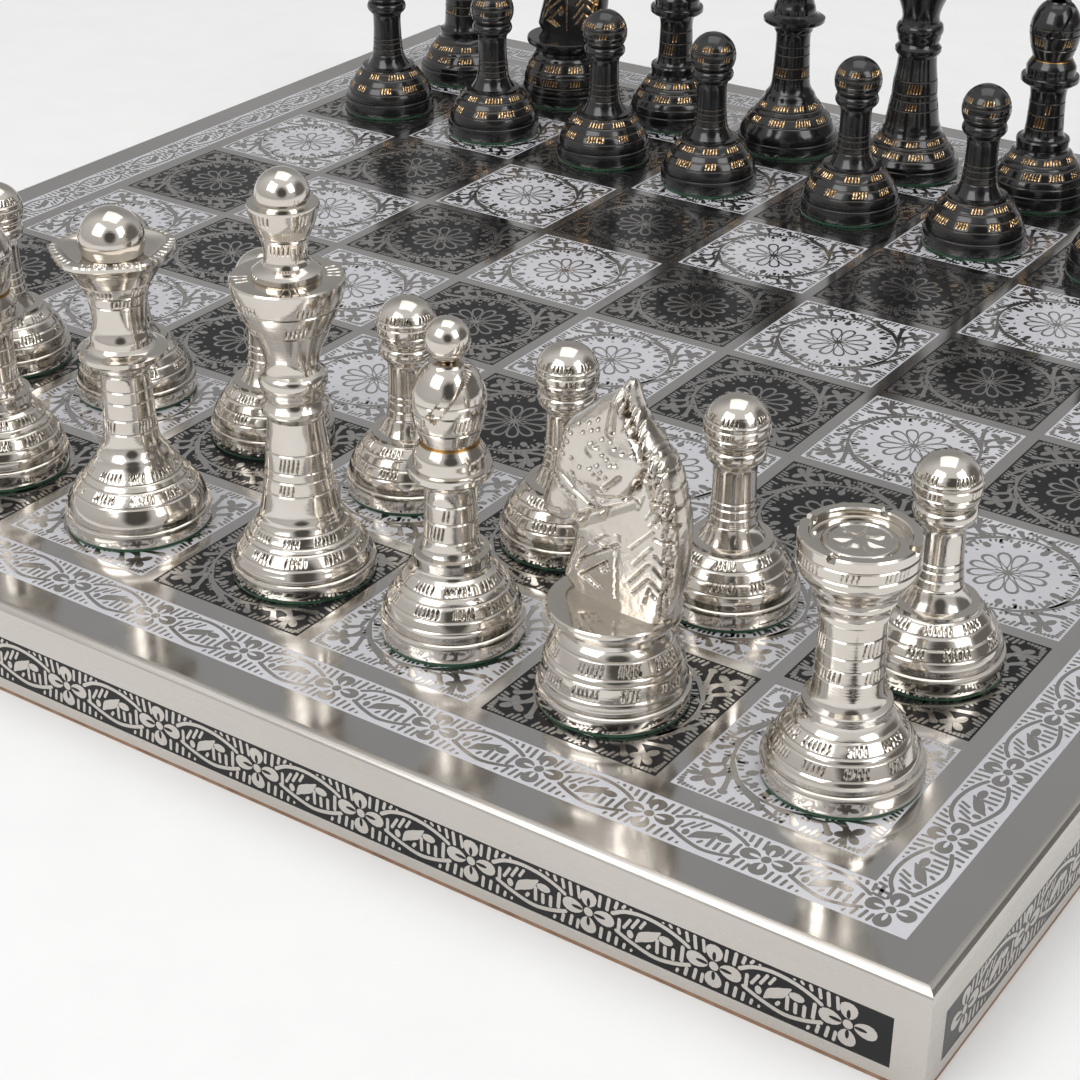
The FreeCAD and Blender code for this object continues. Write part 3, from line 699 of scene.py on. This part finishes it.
def horse_head():
    """Both sides of the cast head, as one closed skin over its outline."""
    left = smooth_profile(THROAT_SIDE, 0.3, 60.0)
    right = smooth_profile(MANE_SIDE, 0.3, 60.0)
    neck, muzzle_floor, head = (19.5, 32.1), (32.16, 33.4), (33.6, 62.35)
    levels = ((neck, 68), (muzzle_floor, 12), (head, 150))
    heights = np.concatenate([np.linspace(low, high, count) for (low, high), count in levels])
    share = 0.5 - 0.5 * np.cos(np.linspace(0, math.pi, 100))
    x_left = np.interp(heights, left[:, 1], left[:, 0])
    x_right = np.interp(heights, right[:, 1], right[:, 0])
    x = x_left[:, None] + (x_right - x_left)[:, None] * share[None, :]
    z = np.repeat(heights[:, None], len(share), axis=1)
    distance = edge_distance(x, z)
    limits = np.array(HEAD_THICKNESS)
    full = np.interp(z, limits[:, 0], limits[:, 1])
    # the muzzle is narrow and the throat thin
    full = full - 1.6 * np.clip((-5.0 - x) / 8.0, 0, 1) * np.clip((z - 31) / 4, 0, 1)
    full = full - 1.3 * np.clip((3.0 - x) / 8.0, 0, 1) * np.clip((34.0 - z) / 8.0, 0, 1)
    for x0, z0, reach_x, reach_z, rise in HEAD_SWELLS:
        full = full + rise * swell(x, z, x0, z0, reach_x, reach_z)
    for path, reach, rise in HEAD_FOLDS:
        for start, end in zip(path, path[1:]):
            full = full + rise * np.clip(1 - along_stroke(x, z, start, end) / reach, 0, 1)
    depth_of_edge = np.interp(z, [19.5, 34.0, 62.0], [3.0, 3.0, 2.2]) + 1.0 * np.clip(-x / 8.0, 0, 1)
    rounded = np.clip(distance / depth_of_edge, 0, 1)
    side = full * np.sqrt(np.clip(1 - (1 - rounded)**2.2, 0, 1))
    # cut marks the chased strokes, punched dots and mane locks: painted shade in them on the nickel head,
    # bare brass on the lacquered one
    cut = np.zeros_like(side)
    for start, end, half, depth in V_STROKES + CHEST_STROKES + FACE_STROKES:
        amount = np.clip(1.3 * (1 - along_stroke(x, z, start, end) / (half * 1.25)), 0, 1)
        side = side - depth * amount
        cut = np.maximum(cut, 0.8 * amount)
    for x0, z0 in PUNCHED:
        amount = np.clip(1.6 * (1 - np.hypot(x - x0, z - z0) / 0.42), 0, 1)
        side = side - 0.42 * amount
        cut = np.maximum(cut, amount)
    chance = random.Random(5)
    locks = 46
    for k in range(locks):
        height = 22.0 + 39.0 * k / locks
        edge = np.interp(height, right[:, 1], right[:, 0])
        inward = 0.7 + 1.1 * chance.random()
        start = (edge - inward, height + 0.9)
        end = (edge - inward - 0.3, height - 0.9 - 0.6 * chance.random())
        amount = np.clip(1.3 * (1 - along_stroke(x, z, start, end) / 0.26), 0, 1)
        side = side - 0.35 * amount
        cut = np.maximum(cut, 0.9 * amount)
    side = np.maximum(side, 0.0)
    side[:, 0] = 0.0
    side[:, -1] = 0.0
    return skin_both_sides(x, z, side, cut)


def skin_both_sides(x, z, side, cut):
    """Front and back copies of a relief joined along their shared rim."""
    rows, columns = x.shape
    verts = []
    index = np.zeros((2, rows, columns), int)
    values = []
    for face, sign in ((0, -1.0), (1, 1.0)):
        for i in range(rows):
            for j in range(columns):
                if face == 1 and j in (0, columns - 1):
                    index[1, i, j] = index[0, i, j]
                    continue
                index[face, i, j] = len(verts)
                verts.append((x[i, j], sign * side[i, j], z[i, j]))
                values.append(cut[i, j])
    faces = []
    for face in (0, 1):
        grid = index[face]
        for i in range(rows - 1):
            for j in range(columns - 1):
                quad = [grid[i, j], grid[i, j + 1], grid[i + 1, j + 1], grid[i + 1, j]]
                faces.append(quad if face == 0 else quad[::-1])
    for i, flip in ((0, True), (rows - 1, False)):
        for j in range(columns - 1):
            ring_a, ring_b = index[0, i], index[1, i]
            quad = [ring_a[j], ring_a[j + 1], ring_b[j + 1], ring_b[j]]
            quad = [int(v) for k, v in enumerate(quad) if v not in quad[:k]]
            if len(quad) > 2:
                faces.append(quad[::-1] if flip else quad)
    faces = [[int(v) for v in quad] for quad in faces]
    return mesh_of("horse_head", verts, faces, cut=values, sharp=50.0)


# ---------------------------------------------------------------- etched ornament
class Ornament:
    """Thin raised metal shapes over enamel, gathered into one mesh and drawn in millimetres."""

    def __init__(self):
        self.verts = []
        self.faces = []
        self.shapes = 0
        self.bold = 1.0                      # widening of every stroke

    def next_level(self):
        """Shapes take one of seven heights a few micrometres apart in turn, so consecutive shapes' tops do
        not coincide; shapes seven apart share a height.
        """
        self.shapes += 1
        return -0.004 * (self.shapes % 7)

    def prism(self, outline, rim, place, depth=0.12):
        """Raised shape: outline is a list of 2D points; rim tells how they are joined into top faces."""
        base = len(self.verts)
        count = len(outline)
        top = self.next_level()
        for level in (top, top - depth):
            for point in outline:
                self.verts.append(place(point[0], point[1], level))
        for face in rim:
            self.faces.append([base + k for k in face])
        for k in range(count):
            after = (k + 1) % count
            self.faces.append([base + k, base + count + k, base + count + after, base + after])

    def disc(self, place, x, y, half_long, half_wide=None, turn=0.0, points=12):
        half_wide = half_wide or half_long
        c, s = math.cos(math.radians(turn)), math.sin(math.radians(turn))
        outline = []
        for k in range(points):
            a = 2 * math.pi * k / points
            u, v = half_long * math.cos(a), half_wide * math.sin(a)
            outline.append((x + u * c - v * s, y + u * s + v * c))
        self.prism(outline, [list(range(points))], place)

    def stroke(self, place, path, widths, smooth=4):
        """Ribbon along a path; widths gives the half-width at each point of the path."""
        path = np.array(path, float)
        widths = np.array(widths if hasattr(widths, "__len__") else [widths] * len(path), float) * self.bold
        if smooth and len(path) > 2:
            longest = float(np.linalg.norm(np.diff(path, axis=0), axis=1).max())
            fine = smooth_profile(path.tolist(), longest / smooth, 179.0)
            marks = np.concatenate([[0], np.cumsum(np.linalg.norm(np.diff(path, axis=0), axis=1))])
            spots = np.concatenate([[0], np.cumsum(np.linalg.norm(np.diff(fine, axis=0), axis=1))])
            widths = np.interp(spots / spots[-1], marks / marks[-1], widths)
            path = fine
        way = np.gradient(path, axis=0)
        way /= np.maximum(np.linalg.norm(way, axis=1), 1e-9)[:, None]
        across = np.stack([-way[:, 1], way[:, 0]], axis=1)
        left = path + across * widths[:, None]
        right = path - across * widths[:, None]
        tip = path[-1] + way[-1] * widths[-1] * 0.8
        tail = path[0] - way[0] * widths[0] * 0.8
        outline = [tuple(p) for p in right] + [tuple(tip)] + [tuple(p) for p in left[::-1]] + [tuple(tail)]
        n = len(path)
        rim = []
        for k in range(n - 1):
            rim.append([k, k + 1, 2 * n - k - 1, 2 * n - k])
        rim.append([n - 1, n, n + 1])
        rim.append([2 * n + 1, 0, 2 * n])
        self.prism(outline, rim, place)

    def loop(self, place, inner, outer):
        """Closed band between two outlines with equal numbers of points."""
        base = len(self.verts)
        n = len(inner)
        top = self.next_level()
        for level in (top, top - 0.12):
            for ring_points in (inner, outer):
                for point in ring_points:
                    self.verts.append(place(point[0], point[1], level))
        for k in range(n):
            after = (k + 1) % n
            self.faces.append([base + k, base + n + k, base + n + after, base + after])
            self.faces.append([base + n + k, base + 3 * n + k, base + 3 * n + after, base + n + after])
            self.faces.append([base + 2 * n + k, base + k, base + after, base + 2 * n + after])

    def build(self, name):
        return mesh_of(name, self.verts, self.faces, smooth=False)


def draw_flower(art, place, x, y, reach_x, reach_y, size):
    """Four-petalled flower with a slot in each petal and a round centre."""
    art.disc(place, x, y, 0.85 * size, points=12)
    for turn, reach in ((0, reach_x), (90, reach_y), (180, reach_x), (270, reach_y)):
        c, s = math.cos(math.radians(turn)), math.sin(math.radians(turn))
        inner, outer = [], []
        start = 1.0 * size
        wide = 1.62 * size if turn % 180 == 0 else 1.75 * size
        for k in range(14):
            a = 2 * math.pi * k / 14
            u = start + (reach - start) * (0.5 - 0.5 * math.cos(a))
            v = wide * math.sin(a) * (0.72 + 0.28 * (0.5 - 0.5 * math.cos(a)))
            outer.append((x + u * c - v * s, y + u * s + v * c))
            u = start + (reach - start) * 0.56 * (0.5 - 0.5 * math.cos(a)) + 0.02
            v = 0.34 * size * math.sin(a)
            inner.append((x + u * c - v * s, y + u * s + v * c))
        art.loop(place, inner, outer)


# One repeat of the running border, in fractions of one chessboard square from the flower's centre
RUN_STROKES = [
    # (points, half-widths)
    (((0.115, 0.045), (0.175, 0.08), (0.26, 0.097), (0.36, 0.088), (0.44, 0.063), (0.485, 0.040)), 0.0095),
    (((0.135, -0.033), (0.22, -0.065), (0.325, -0.088), (0.42, -0.073), (0.49, -0.047)), 0.0095),
    (((0.232, -0.048), (0.262, -0.012), (0.305, 0.012), (0.348, 0.050)), (0.004, 0.024, 0.024, 0.004)),
    (((0.335, -0.058), (0.335, 0.010)), 0.0085), (((0.372, -0.058), (0.372, -0.010)), 0.0085),
    (((0.410, -0.058), (0.412, -0.004)), 0.0085), (((0.450, -0.046), (0.455, 0.030)), 0.0090),
    (((0.288, -0.056), (0.300, -0.038)), 0.0080), (((0.172, -0.004), (0.205, 0.052)), 0.0075),
    (((0.212, 0.014), (0.244, 0.070)), 0.0075), (((0.252, 0.030), (0.276, 0.072)), 0.0070),
    (((0.148, -0.030), (0.152, 0.032)), 0.0085), (((0.052, 0.050), (0.058, 0.108)), 0.0075),
    (((0.090, 0.050), (0.100, 0.112)), 0.0085), (((0.130, 0.076), (0.140, 0.112)), 0.0080),
    (((0.165, 0.094), (0.178, 0.112)), 0.0070), (((0.555, 0.052), (0.548, 0.110)), 0.0075),
    (((0.515, 0.050), (0.508, 0.112)), 0.0085), (((0.478, 0.070), (0.470, 0.112)), 0.0080),
    (((0.438, 0.090), (0.430, 0.112)), 0.0080), (((0.400, 0.102), (0.390, 0.112)), 0.0070),
    (((0.060, -0.108), (0.066, -0.054)), 0.0080), (((0.098, -0.108), (0.106, -0.058)), 0.0080),
    (((0.136, -0.108), (0.142, -0.068)), 0.0075), (((0.174, -0.108), (0.180, -0.084)), 0.0070),
    (((0.210, -0.108), (0.214, -0.098)), 0.0060), (((0.510, -0.106), (0.520, -0.054)), 0.0080),
    (((0.470, -0.106), (0.478, -0.066)), 0.0080), (((0.430, -0.108), (0.436, -0.092)), 0.0070),
    (((0.545, -0.108), (0.552, -0.062)), 0.0075),
]
RUN_DISCS = ((0.375, 0.022, 0.035, 0.021), (0.205, -0.022, 0.016, 0.021), (0.206, 0.104, 0.007, 0.006),
             (0.360, 0.108, 0.007, 0.005))
RUN_DRAWN = 0.60          # length of that drawing, flower to flower


def running_border(art, place, first, last, pitch, scale, end_flower=True):
    """Flowers at every repeat from first to last, with the leaf panel between them."""
    count = int(round((last - first) / pitch))
    stretch = pitch / (RUN_DRAWN * scale)
    for k in range(count + 1):
        x0 = first + k * pitch
        if k == count and not end_flower:
            break
        draw_flower(art, place, x0, 0.0, 0.128 * scale * stretch, 0.108 * scale, 0.026 * scale)
        if k == count:
            break
        for path, widths in RUN_STROKES:
            points = [(x0 + x * scale * stretch, y * scale) for x, y in path]
            if hasattr(widths, "__len__"):
                art.stroke(place, points, [w * scale for w in widths])
            else:
                art.stroke(place, points, widths * scale, smooth=4 if len(path) > 2 else 0)
        for x, y, half_x, half_y in RUN_DISCS:
            art.disc(place, x0 + x * scale * stretch, y * scale, half_x * scale, half_y * scale, points=10)


QUARTERS = ((1, 0), (0, 1), (-1, 0), (0, -1))       # cosine and sine of each quarter turn


def turned_place(quarter):
    """Pattern on the board's top, turned by quarter turns about the middle of the board."""
    c, s = QUARTERS[quarter]
    return lambda x, y, level: (x * c - y * s, x * s + y * c, TOP + level)


def side_place(quarter, centre_height):
    """Pattern on a side of the board; x runs along the side, y up."""
    c, s = QUARTERS[quarter]
    return lambda x, y, level: (x * c + (HALF + level) * s, x * s - (HALF + level) * c, centre_height + y)


def square_pattern(art, place):
    """Rosette, ring of beads, vine circle and budded sprigs of one square, centred on the origin."""
    unit = PITCH
    petals = 12
    for k in range(petals):
        a = math.radians(360.0 * k / petals)
        c, s = math.cos(a), math.sin(a)
        inner, outer = [], []
        for j in range(14):
            t = 2 * math.pi * j / 14
            out = 0.5 - 0.5 * math.cos(t)
            u = 0.060 + 0.128 * out
            v = 0.036 * math.sin(t) * (0.35 + 0.65 * out)
            inner.append(((u * c - v * s) * unit, (u * s + v * c) * unit))
            u = 0.045 + 0.163 * out
            v = 0.052 * math.sin(t) * (0.30 + 0.70 * out)
            outer.append(((u * c - v * s) * unit, (u * s + v * c) * unit))
        art.loop(place, inner, outer)
        near, far = 0.016 * unit, 0.050 * unit
        art.stroke(place, [(near * c, near * s), (far * c, far * s)], 0.0035 * unit, 0)
    art.disc(place, 0, 0, 0.016 * unit, points=12)
    for k in range(12):
        a = math.radians(30.0 * k + 15.0)
        art.disc(place, 0.292 * math.cos(a) * unit, 0.292 * math.sin(a) * unit, 0.030 * unit, 0.021 * unit,
                 turn=math.degrees(a), points=10)
        b = math.radians(30.0 * k)
        art.disc(place, 0.262 * math.cos(b) * unit, 0.262 * math.sin(b) * unit, 0.0085 * unit, points=8)
    circle = [(math.cos(2 * math.pi * k / 64), math.sin(2 * math.pi * k / 64)) for k in range(64)]
    art.loop(place, [(x * 0.356 * unit, y * 0.356 * unit) for x, y in circle],
             [(x * 0.372 * unit, y * 0.372 * unit) for x, y in circle])
    for quarter in range(4):
        c, s = QUARTERS[quarter]

        def spot(x, y, c=c, s=s):
            return ((x * c - y * s) * unit, (x * s + y * c) * unit)

        # budded sprigs leave the vine towards the near edge (the pattern's lower side)
        for start, bend, bud, size in (
            ((-0.345, -0.13), (-0.26, -0.335), (-0.245, -0.395), 0.024),
            ((-0.20, -0.305), (-0.10, -0.36), (-0.06, -0.415), 0.020),
            ((-0.03, -0.362), (0.075, -0.375), (0.115, -0.42), 0.022),
            ((0.12, -0.345), (0.215, -0.345), (0.262, -0.40), 0.023),
            ((0.24, -0.275), (0.305, -0.32), (0.345, -0.425), 0.017),
        ):
            path = [spot(*start), spot((start[0] + bend[0]) / 2 + 0.012, (start[1] + bend[1]) / 2 - 0.008),
                    spot(*bend), spot(*bud)]
            art.stroke(place, path, [0.004 * unit, 0.0085 * unit, 0.008 * unit, 0.010 * unit], smooth=3)
            art.disc(place, *spot(*bud), size * unit, size * 0.85 * unit, points=10)
        # long stem that leaves the vine at a tangent and runs out to the next corner
        art.stroke(place, [spot(-0.33, -0.16), spot(-0.22, -0.30), spot(-0.08, -0.385), spot(0.07, -0.442)],
                   [0.005 * unit, 0.0095 * unit, 0.009 * unit, 0.004 * unit], smooth=4)
        # corner clover
        x0, y0 = -0.355, -0.345
        for turn, reach in ((225, 0.062), (120, 0.060), (330, 0.060)):
            a = math.radians(turn)
            x1, y1 = x0 + 0.62 * reach * math.cos(a), y0 + 0.62 * reach * math.sin(a)
            art.disc(place, *spot(x1, y1), 0.034 * unit, 0.022 * unit, turn=turn + 90 * quarter, points=10)
        art.disc(place, *spot(x0, y0), 0.016 * unit, points=8)
        art.stroke(place, [spot(x0, y0), spot(-0.325, -0.30), spot(-0.315, -0.25), spot(-0.335, -0.215)],
                   [0.010 * unit, 0.007 * unit, 0.006 * unit, 0.004 * unit], smooth=3)
        # strokes in the corner, along the edge and inside the vine
        for k in range(5):
            d = 0.016 + 0.020 * k
            tip = -0.425 - 0.004 * k
            art.stroke(place, [spot(-0.447 + d, -0.447), spot(-0.440 + d * 0.9, tip)], 0.0055 * unit, 0)
            art.stroke(place, [spot(-0.447, -0.440 + d), spot(tip, -0.432 + d * 0.9)], 0.0055 * unit, 0)
        for first, count in ((-0.325, 4), (-0.19, 5), (-0.015, 4), (0.155, 4), (0.290, 3)):
            for k in range(count):
                x = first + 0.026 * k
                tall = 0.034 + 0.012 * math.sin(k * 1.9 + first * 20)
                art.stroke(place, [spot(x, -0.449), spot(x + 0.010, -0.449 + tall)], 0.0052 * unit, 0)
        for first, count in ((-0.23, 5), (-0.10, 4), (0.01, 4), (0.12, 5)):
            for k in range(count):
                x = first + 0.024 * k
                y = -math.sqrt(max(0.344**2 - x * x, 0.0))
                tall = 0.022 + 0.008 * math.cos(k * 2.3 + first * 9)
                art.stroke(place, [spot(x, y), spot(x * 0.93 + 0.004, y + tall)], 0.0048 * unit, 0)
        for a0, lean in ((232.0, 8.0), (262.0, -7.0), (292.0, 8.0)):
            a, b = math.radians(a0), math.radians(a0 + lean)
            art.stroke(place, [spot(0.352 * math.cos(a), 0.352 * math.sin(a)),
                               spot(0.335 * math.cos(b), 0.335 * math.sin(b)),
                               spot(0.312 * math.cos(b), 0.312 * math.sin(b))],
                       [0.004 * unit, 0.006 * unit, 0.007 * unit], smooth=2)
            art.disc(place, *spot(0.309 * math.cos(b), 0.309 * math.sin(b)), 0.014 * unit, points=8)
        for a0 in (221.0, 238.0, 255.0, 272.0, 289.0, 304.0):
            for k in range(3):
                a = math.radians(a0 + 3.6 * k)
                art.stroke(place, [spot(0.384 * math.cos(a), 0.384 * math.sin(a)),
                                   spot(0.404 * math.cos(a), 0.404 * math.sin(a))], 0.0048 * unit, 0)


def add_filling(verts, faces, box, levels, place):
    """Closed solid through one rectangle, set in by its own amount at each level from the bottom up."""
    x0, y0, x1, y1 = box
    base = len(verts)
    for inset, level in levels:
        for x, y in ((x0 + inset, y0 + inset), (x1 - inset, y0 + inset),
                     (x1 - inset, y1 - inset), (x0 + inset, y1 - inset)):
            verts.append(place(x, y, level))
    faces.append([base + 3, base + 2, base + 1, base])
    for a in range(base, len(verts) - 4, 4):
        for k in range(4):
            after = (k + 1) % 4
            faces.append([a + k, a + after, a + 4 + after, a + 4 + k])
    faces.append(list(range(len(verts) - 4, len(verts))))


def slab(name, boxes):
    """Enamel fillings of the top with softened edges; each box is (x0, y0, x1, y1) in millimetres."""
    floor_height, high = squares_low.z / MM, TOP - ENAMEL_DROP
    levels = ((0.0, floor_height), (0.0, high - 0.03), (0.10, high), (0.8, high))
    verts, faces = [], []
    for box in boxes:
        add_filling(verts, faces, box, levels, lambda x, y, level: (x, y, level))
    return mesh_of(name, verts, faces, smooth=False)


# ---------------------------------------------------------------- the board
def square_spots(light):
    spots = []
    for column in range(8):
        for row in range(8):
            if ((column + row) % 2 == 1) == light:
                spots.append(((column - 3.5) * PITCH, (row - 3.5) * PITCH))
    return spots


def put(name, mesh, material, slot, *nodes):
    piece = make_object(name, mesh, material, "board")
    if nodes:
        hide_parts(*nodes)
    return piece


half = SQUARE / 2
for light, name, material, slot in (
    (True, "light", WHITE, "white_enamel"),
    (False, "dark", DARK, "black_enamel"),
):
    spots = square_spots(light)
    boxes = [(x - half, y - half, x + half, y + half) for x, y in spots]
    put(name + "_enamel_fill", slab(name + "_enamel_fill", boxes), material, slot, name + "_square_enamel")
    for strip in range(4):
        art = Ornament()
        art.bold = 1.5
        for x0, y0 in spots[8 * strip:8 * strip + 8]:
            square_pattern(art, lambda x, y, level, x0=x0, y0=y0: (x0 + x, y0 + y, TOP + level))
        title = name + "_square_ornament_" + "1234"[strip]
        put(title, art.build(title), PATTERN, "etched_nickel")

ring_boxes = [
    (-BORDER_OUT, -BORDER_OUT, BORDER_OUT, -BORDER_IN),
    (-BORDER_OUT, BORDER_IN, BORDER_OUT, BORDER_OUT),
    (-BORDER_OUT, -BORDER_IN, -BORDER_IN, BORDER_IN),
    (BORDER_IN, -BORDER_IN, BORDER_OUT, BORDER_IN),
]
put("border_enamel_fill", slab("border_enamel_fill", ring_boxes), WHITE, "white_enamel", "border_enamel")
BORDER_MIDDLE = (BORDER_IN + BORDER_OUT) / 2
art = Ornament()
for quarter in range(4):
    place = turned_place(quarter)
    running_border(art, lambda x, y, level, place=place: place(x, y - BORDER_MIDDLE, level),
                   -BORDER_MIDDLE, BORDER_MIDDLE, 2 * BORDER_MIDDLE / 15.0, PITCH * 1.02, end_flower=False)
put("border_ornament", art.build("border_ornament"), PATTERN, "etched_nickel")

SIDE_PITCH = 0.603 * PITCH
tall = (SIDE_HIGH - SIDE_LOW) / 2
art = Ornament()
verts, faces = [], []
for quarter in range(4):
    place = side_place(quarter, (SIDE_LOW + SIDE_HIGH) / 2)
    running_border(art, place, -7 * SIDE_PITCH, 7 * SIDE_PITCH, SIDE_PITCH, PITCH * 1.01)
    add_filling(verts, faces, (-SIDE_END, -tall, SIDE_END, tall),
                ((0.0, -0.4), (0.0, -0.08), (0.1, -ENAMEL_DROP)), place)
side_fill = mesh_of("side_enamel_fill", verts, faces, smooth=False)
put("side_enamel_fill", side_fill, DARK, "black_enamel", "side_enamel")
put("side_ornament", art.build("side_ornament"), SATIN, "satin_nickel")

for node, material in (("top_plate", PLATE), ("base_panel", PANEL), ("board_core", CORE),
                       ("side_strip_front", SATIN), ("side_strip_back", SATIN),
                       ("side_strip_left", SATIN), ("side_strip_right", SATIN)):
    mesh = frame["nodes"][node].data
    mesh.materials.clear()
    mesh.materials.append(material)

# ---------------------------------------------------------------- the chess pieces
SEAM_RING = [(4.7, 39.05), (5.3, 39.1), (5.5, 39.3), (5.35, 39.5), (4.8, 39.6)]
MESHES = {
    "pawn": turned("pawn", PAWN, PAWN_LINES, PAWN_BANDS, seed=1),
    "rook": turned("rook", ROOK, ROOK_LINES, ROOK_BANDS, seed=2, plan=rosette_plan),
    "knight": turned("knight", KNIGHT, KNIGHT_LINES, KNIGHT_BANDS, seed=3),
    "bishop": turned("bishop", BISHOP, BISHOP_LINES, BISHOP_BANDS, seed=4),
    "king": turned("king", KING, KING_LINES, KING_BANDS, seed=5, plan=deck_plan),
    "queen": turned("queen", QUEEN, QUEEN_LINES, QUEEN_BANDS, seed=6, plan=coronet),
    "mitre": turned("mitre", MITRE, MITRE_LINES, MITRE_BANDS, step=0.3, seed=7, plan=mitre_plan),
    "crown": turned("crown", KING_CROWN, CROWN_LINES, CROWN_BANDS, seed=8),
    "orb": turned("orb", ORB, seed=9),
    "seam": turned("seam", SEAM_RING, step=0.2, seed=11),
    "head": horse_head(),
}
BASES = {
    "pawn": PAWN_BASE, "rook": ROOK_BASE, "knight": KNIGHT_BASE, "bishop": BISHOP_BASE,
    "king": KING_BASE, "queen": QUEEN_BASE,
}
FELTS = {}
for kind, base in BASES.items():
    disc = [(base - 0.55, 0.0), (base - 0.2, 0.08), (base - 0.15, 0.3), (base - 0.25, 0.62)]
    FELTS[kind] = turned("felt_" + kind, disc, step=0.4, seed=10)
HEADS = {"knight": "head", "bishop": "mitre", "king": "crown", "queen": "orb"}
FACING = 34.0             # slots of the mitres and the like towards the camera
KNIGHT_FACING = -2.0      # the horses look along the rank


def lacquered(kind):
    """Mesh of a piece with the finish of the black army."""
    mesh = bpy.data.meshes.get("lacquered_" + kind)
    if mesh is None:
        mesh = MESHES[kind].copy()
        mesh.name = "lacquered_" + kind
        mesh.materials.clear()
        mesh.materials.append(BLACK)
    return mesh


chance = random.Random(17)
for body in sorted(frame["bodies"]):
    if body == "board":
        continue
    colour, kind = body.split("_")[:2]
    low_corner, high_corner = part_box(body)
    spot = ((low_corner.x + high_corner.x) / 2, (low_corner.y + high_corner.y) / 2, low_corner.z)
    material = NICKEL if colour == "silver" else BLACK
    slot = "polished_nickel" if colour == "silver" else "black_lacquer"
    turn = {"pawn": chance.uniform(0, 360), "rook": 0.0, "queen": 0.0}.get(kind, FACING)
    mesh = MESHES[kind] if colour == "silver" else lacquered(kind)
    piece = make_object(body + "_turned", mesh, material, body, spot, turn)
    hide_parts(body)
    make_object(body + "_felt", FELTS[kind], FELT, body, spot, turn)
    if kind in HEADS:
        part = HEADS[kind]
        mesh = MESHES[part] if colour == "silver" else lacquered(part)
        finish = NICKEL_CAST if part == "head" else material
        turn_head = KNIGHT_FACING if kind == "knight" else FACING
        head = make_object(body + "_" + part + "_cast", mesh, finish, body, spot, turn_head)
        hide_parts(body + "_" + part)
    if kind == "bishop":
        make_object(body + "_mitre_seam", MESHES["seam"], SEAM, body, spot, turn)

# ---------------------------------------------------------------- studio
floor_mesh = bpy.data.meshes.new("floor")
reach = 30.0
corners = [(-reach, -reach, 0), (reach, -reach, 0), (reach, reach, 0), (-reach, reach, 0)]
floor_mesh.from_pydata(corners, [], [(0, 1, 2, 3)])
floor = bpy.data.objects.new("floor", floor_mesh)
bpy.context.scene.collection.objects.link(floor)
floor_material, nodes, links, shader = new_material("floor_paper")
paper = noise(nodes, links, coordinates(nodes), 60.0, 4.0)
white = clouded(nodes, links, paper, (0.86, 0.86, 0.86), (0.84, 0.84, 0.84))
links.new(white, shader.inputs["Base Color"])
shader.inputs["Roughness"].default_value = 0.9
floor_mesh.materials.append(floor_material)

CAMERA_AZIMUTH = 34.44
CAMERA_ELEVATION = 29.50
CAMERA_SQUARES = (6.887, -10.560, 5.499)     # place of the lens in squares from the middle of the top
CAMERA_LENS = 72.81


def direction(azimuth, elevation):
    """Unit vector from the object towards a place in the studio."""
    a, e = math.radians(azimuth), math.radians(elevation)
    return Vector((math.sin(a) * math.cos(e), -math.cos(a) * math.cos(e), math.sin(e)))


def softbox(name, azimuth, elevation, distance, width, height, power):
    """White area light that faces the object; sizes in metres, power in watts."""
    light = bpy.data.lights.new(name, "AREA")
    light.shape = "RECTANGLE"
    light.size, light.size_y = width, height
    light.energy = power
    lamp = bpy.data.objects.new(name, light)
    bpy.context.scene.collection.objects.link(lamp)
    towards = direction(azimuth, elevation)
    lamp.location = towards * distance
    lamp.rotation_mode = "QUATERNION"
    lamp.rotation_quaternion = towards.to_track_quat("Z", "Y")


softbox("key_box", -12, 42, 1.6, 0.9, 0.9, 8.0)
softbox("fill_box", 84, 38, 1.7, 0.7, 0.9, 6.0)
softbox("top_box", 200, 80, 1.7, 1.3, 1.3, 6.0)


def studio_world():
    """White tent: bright overhead, greyer behind and beside it, a dark gap where the lens looks in."""
    world = bpy.data.worlds.new("studio")
    bpy.context.scene.world = world
    world.use_nodes = True
    nodes, links = world.node_tree.nodes, world.node_tree.links
    background = nodes["Background"]
    way = add(nodes, "ShaderNodeTexCoord").outputs["Generated"]

    def facing(azimuth, elevation, inner, outer):
        """1 inside a cone about a direction, fading to 0 at its rim; inner and outer are cosines."""
        dot = add(nodes, "ShaderNodeVectorMath", operation="DOT_PRODUCT")
        links.new(way, dot.inputs[0])
        dot.inputs[1].default_value = direction(azimuth, elevation)
        return spread(nodes, links, dot.outputs["Value"], 0.0, 1.0, outer, inner)

    tone = mix(nodes, links, facing(0, 90, 0.9, -0.1), (0.62, 0.61, 0.60), (0.95, 0.95, 0.95))
    tone = mix(nodes, links, facing(CAMERA_AZIMUTH + 180, 30, 0.92, 0.55), tone, (0.42, 0.42, 0.42))
    tone = mix(nodes, links, facing(CAMERA_AZIMUTH + 95, 10, 0.93, 0.80), tone, (0.20, 0.19, 0.18))
    tone = mix(nodes, links, facing(CAMERA_AZIMUTH + 6, 26, 0.965, 0.905), tone, (0.11, 0.103, 0.096))
    links.new(tone, background.inputs["Color"])
    background.inputs["Strength"].default_value = 0.85


studio_world()

# ---------------------------------------------------------------- camera
camera_data = bpy.data.cameras.new("camera")
camera_data.lens = CAMERA_LENS
camera_data.sensor_width = 36.0
camera = bpy.data.objects.new("camera", camera_data)
bpy.context.scene.collection.objects.link(camera)
camera.location = Vector(CAMERA_SQUARES) * PITCH * MM + Vector((0, 0, TOP * MM))
camera.rotation_mode = "QUATERNION"
camera.rotation_quaternion = direction(CAMERA_AZIMUTH, CAMERA_ELEVATION).to_track_quat("Z", "Y")
camera_data.clip_start, camera_data.clip_end = 0.01, 100.0
bpy.context.scene.camera = camera

view_settings = bpy.context.scene.view_settings
view_settings.view_transform = "Standard"
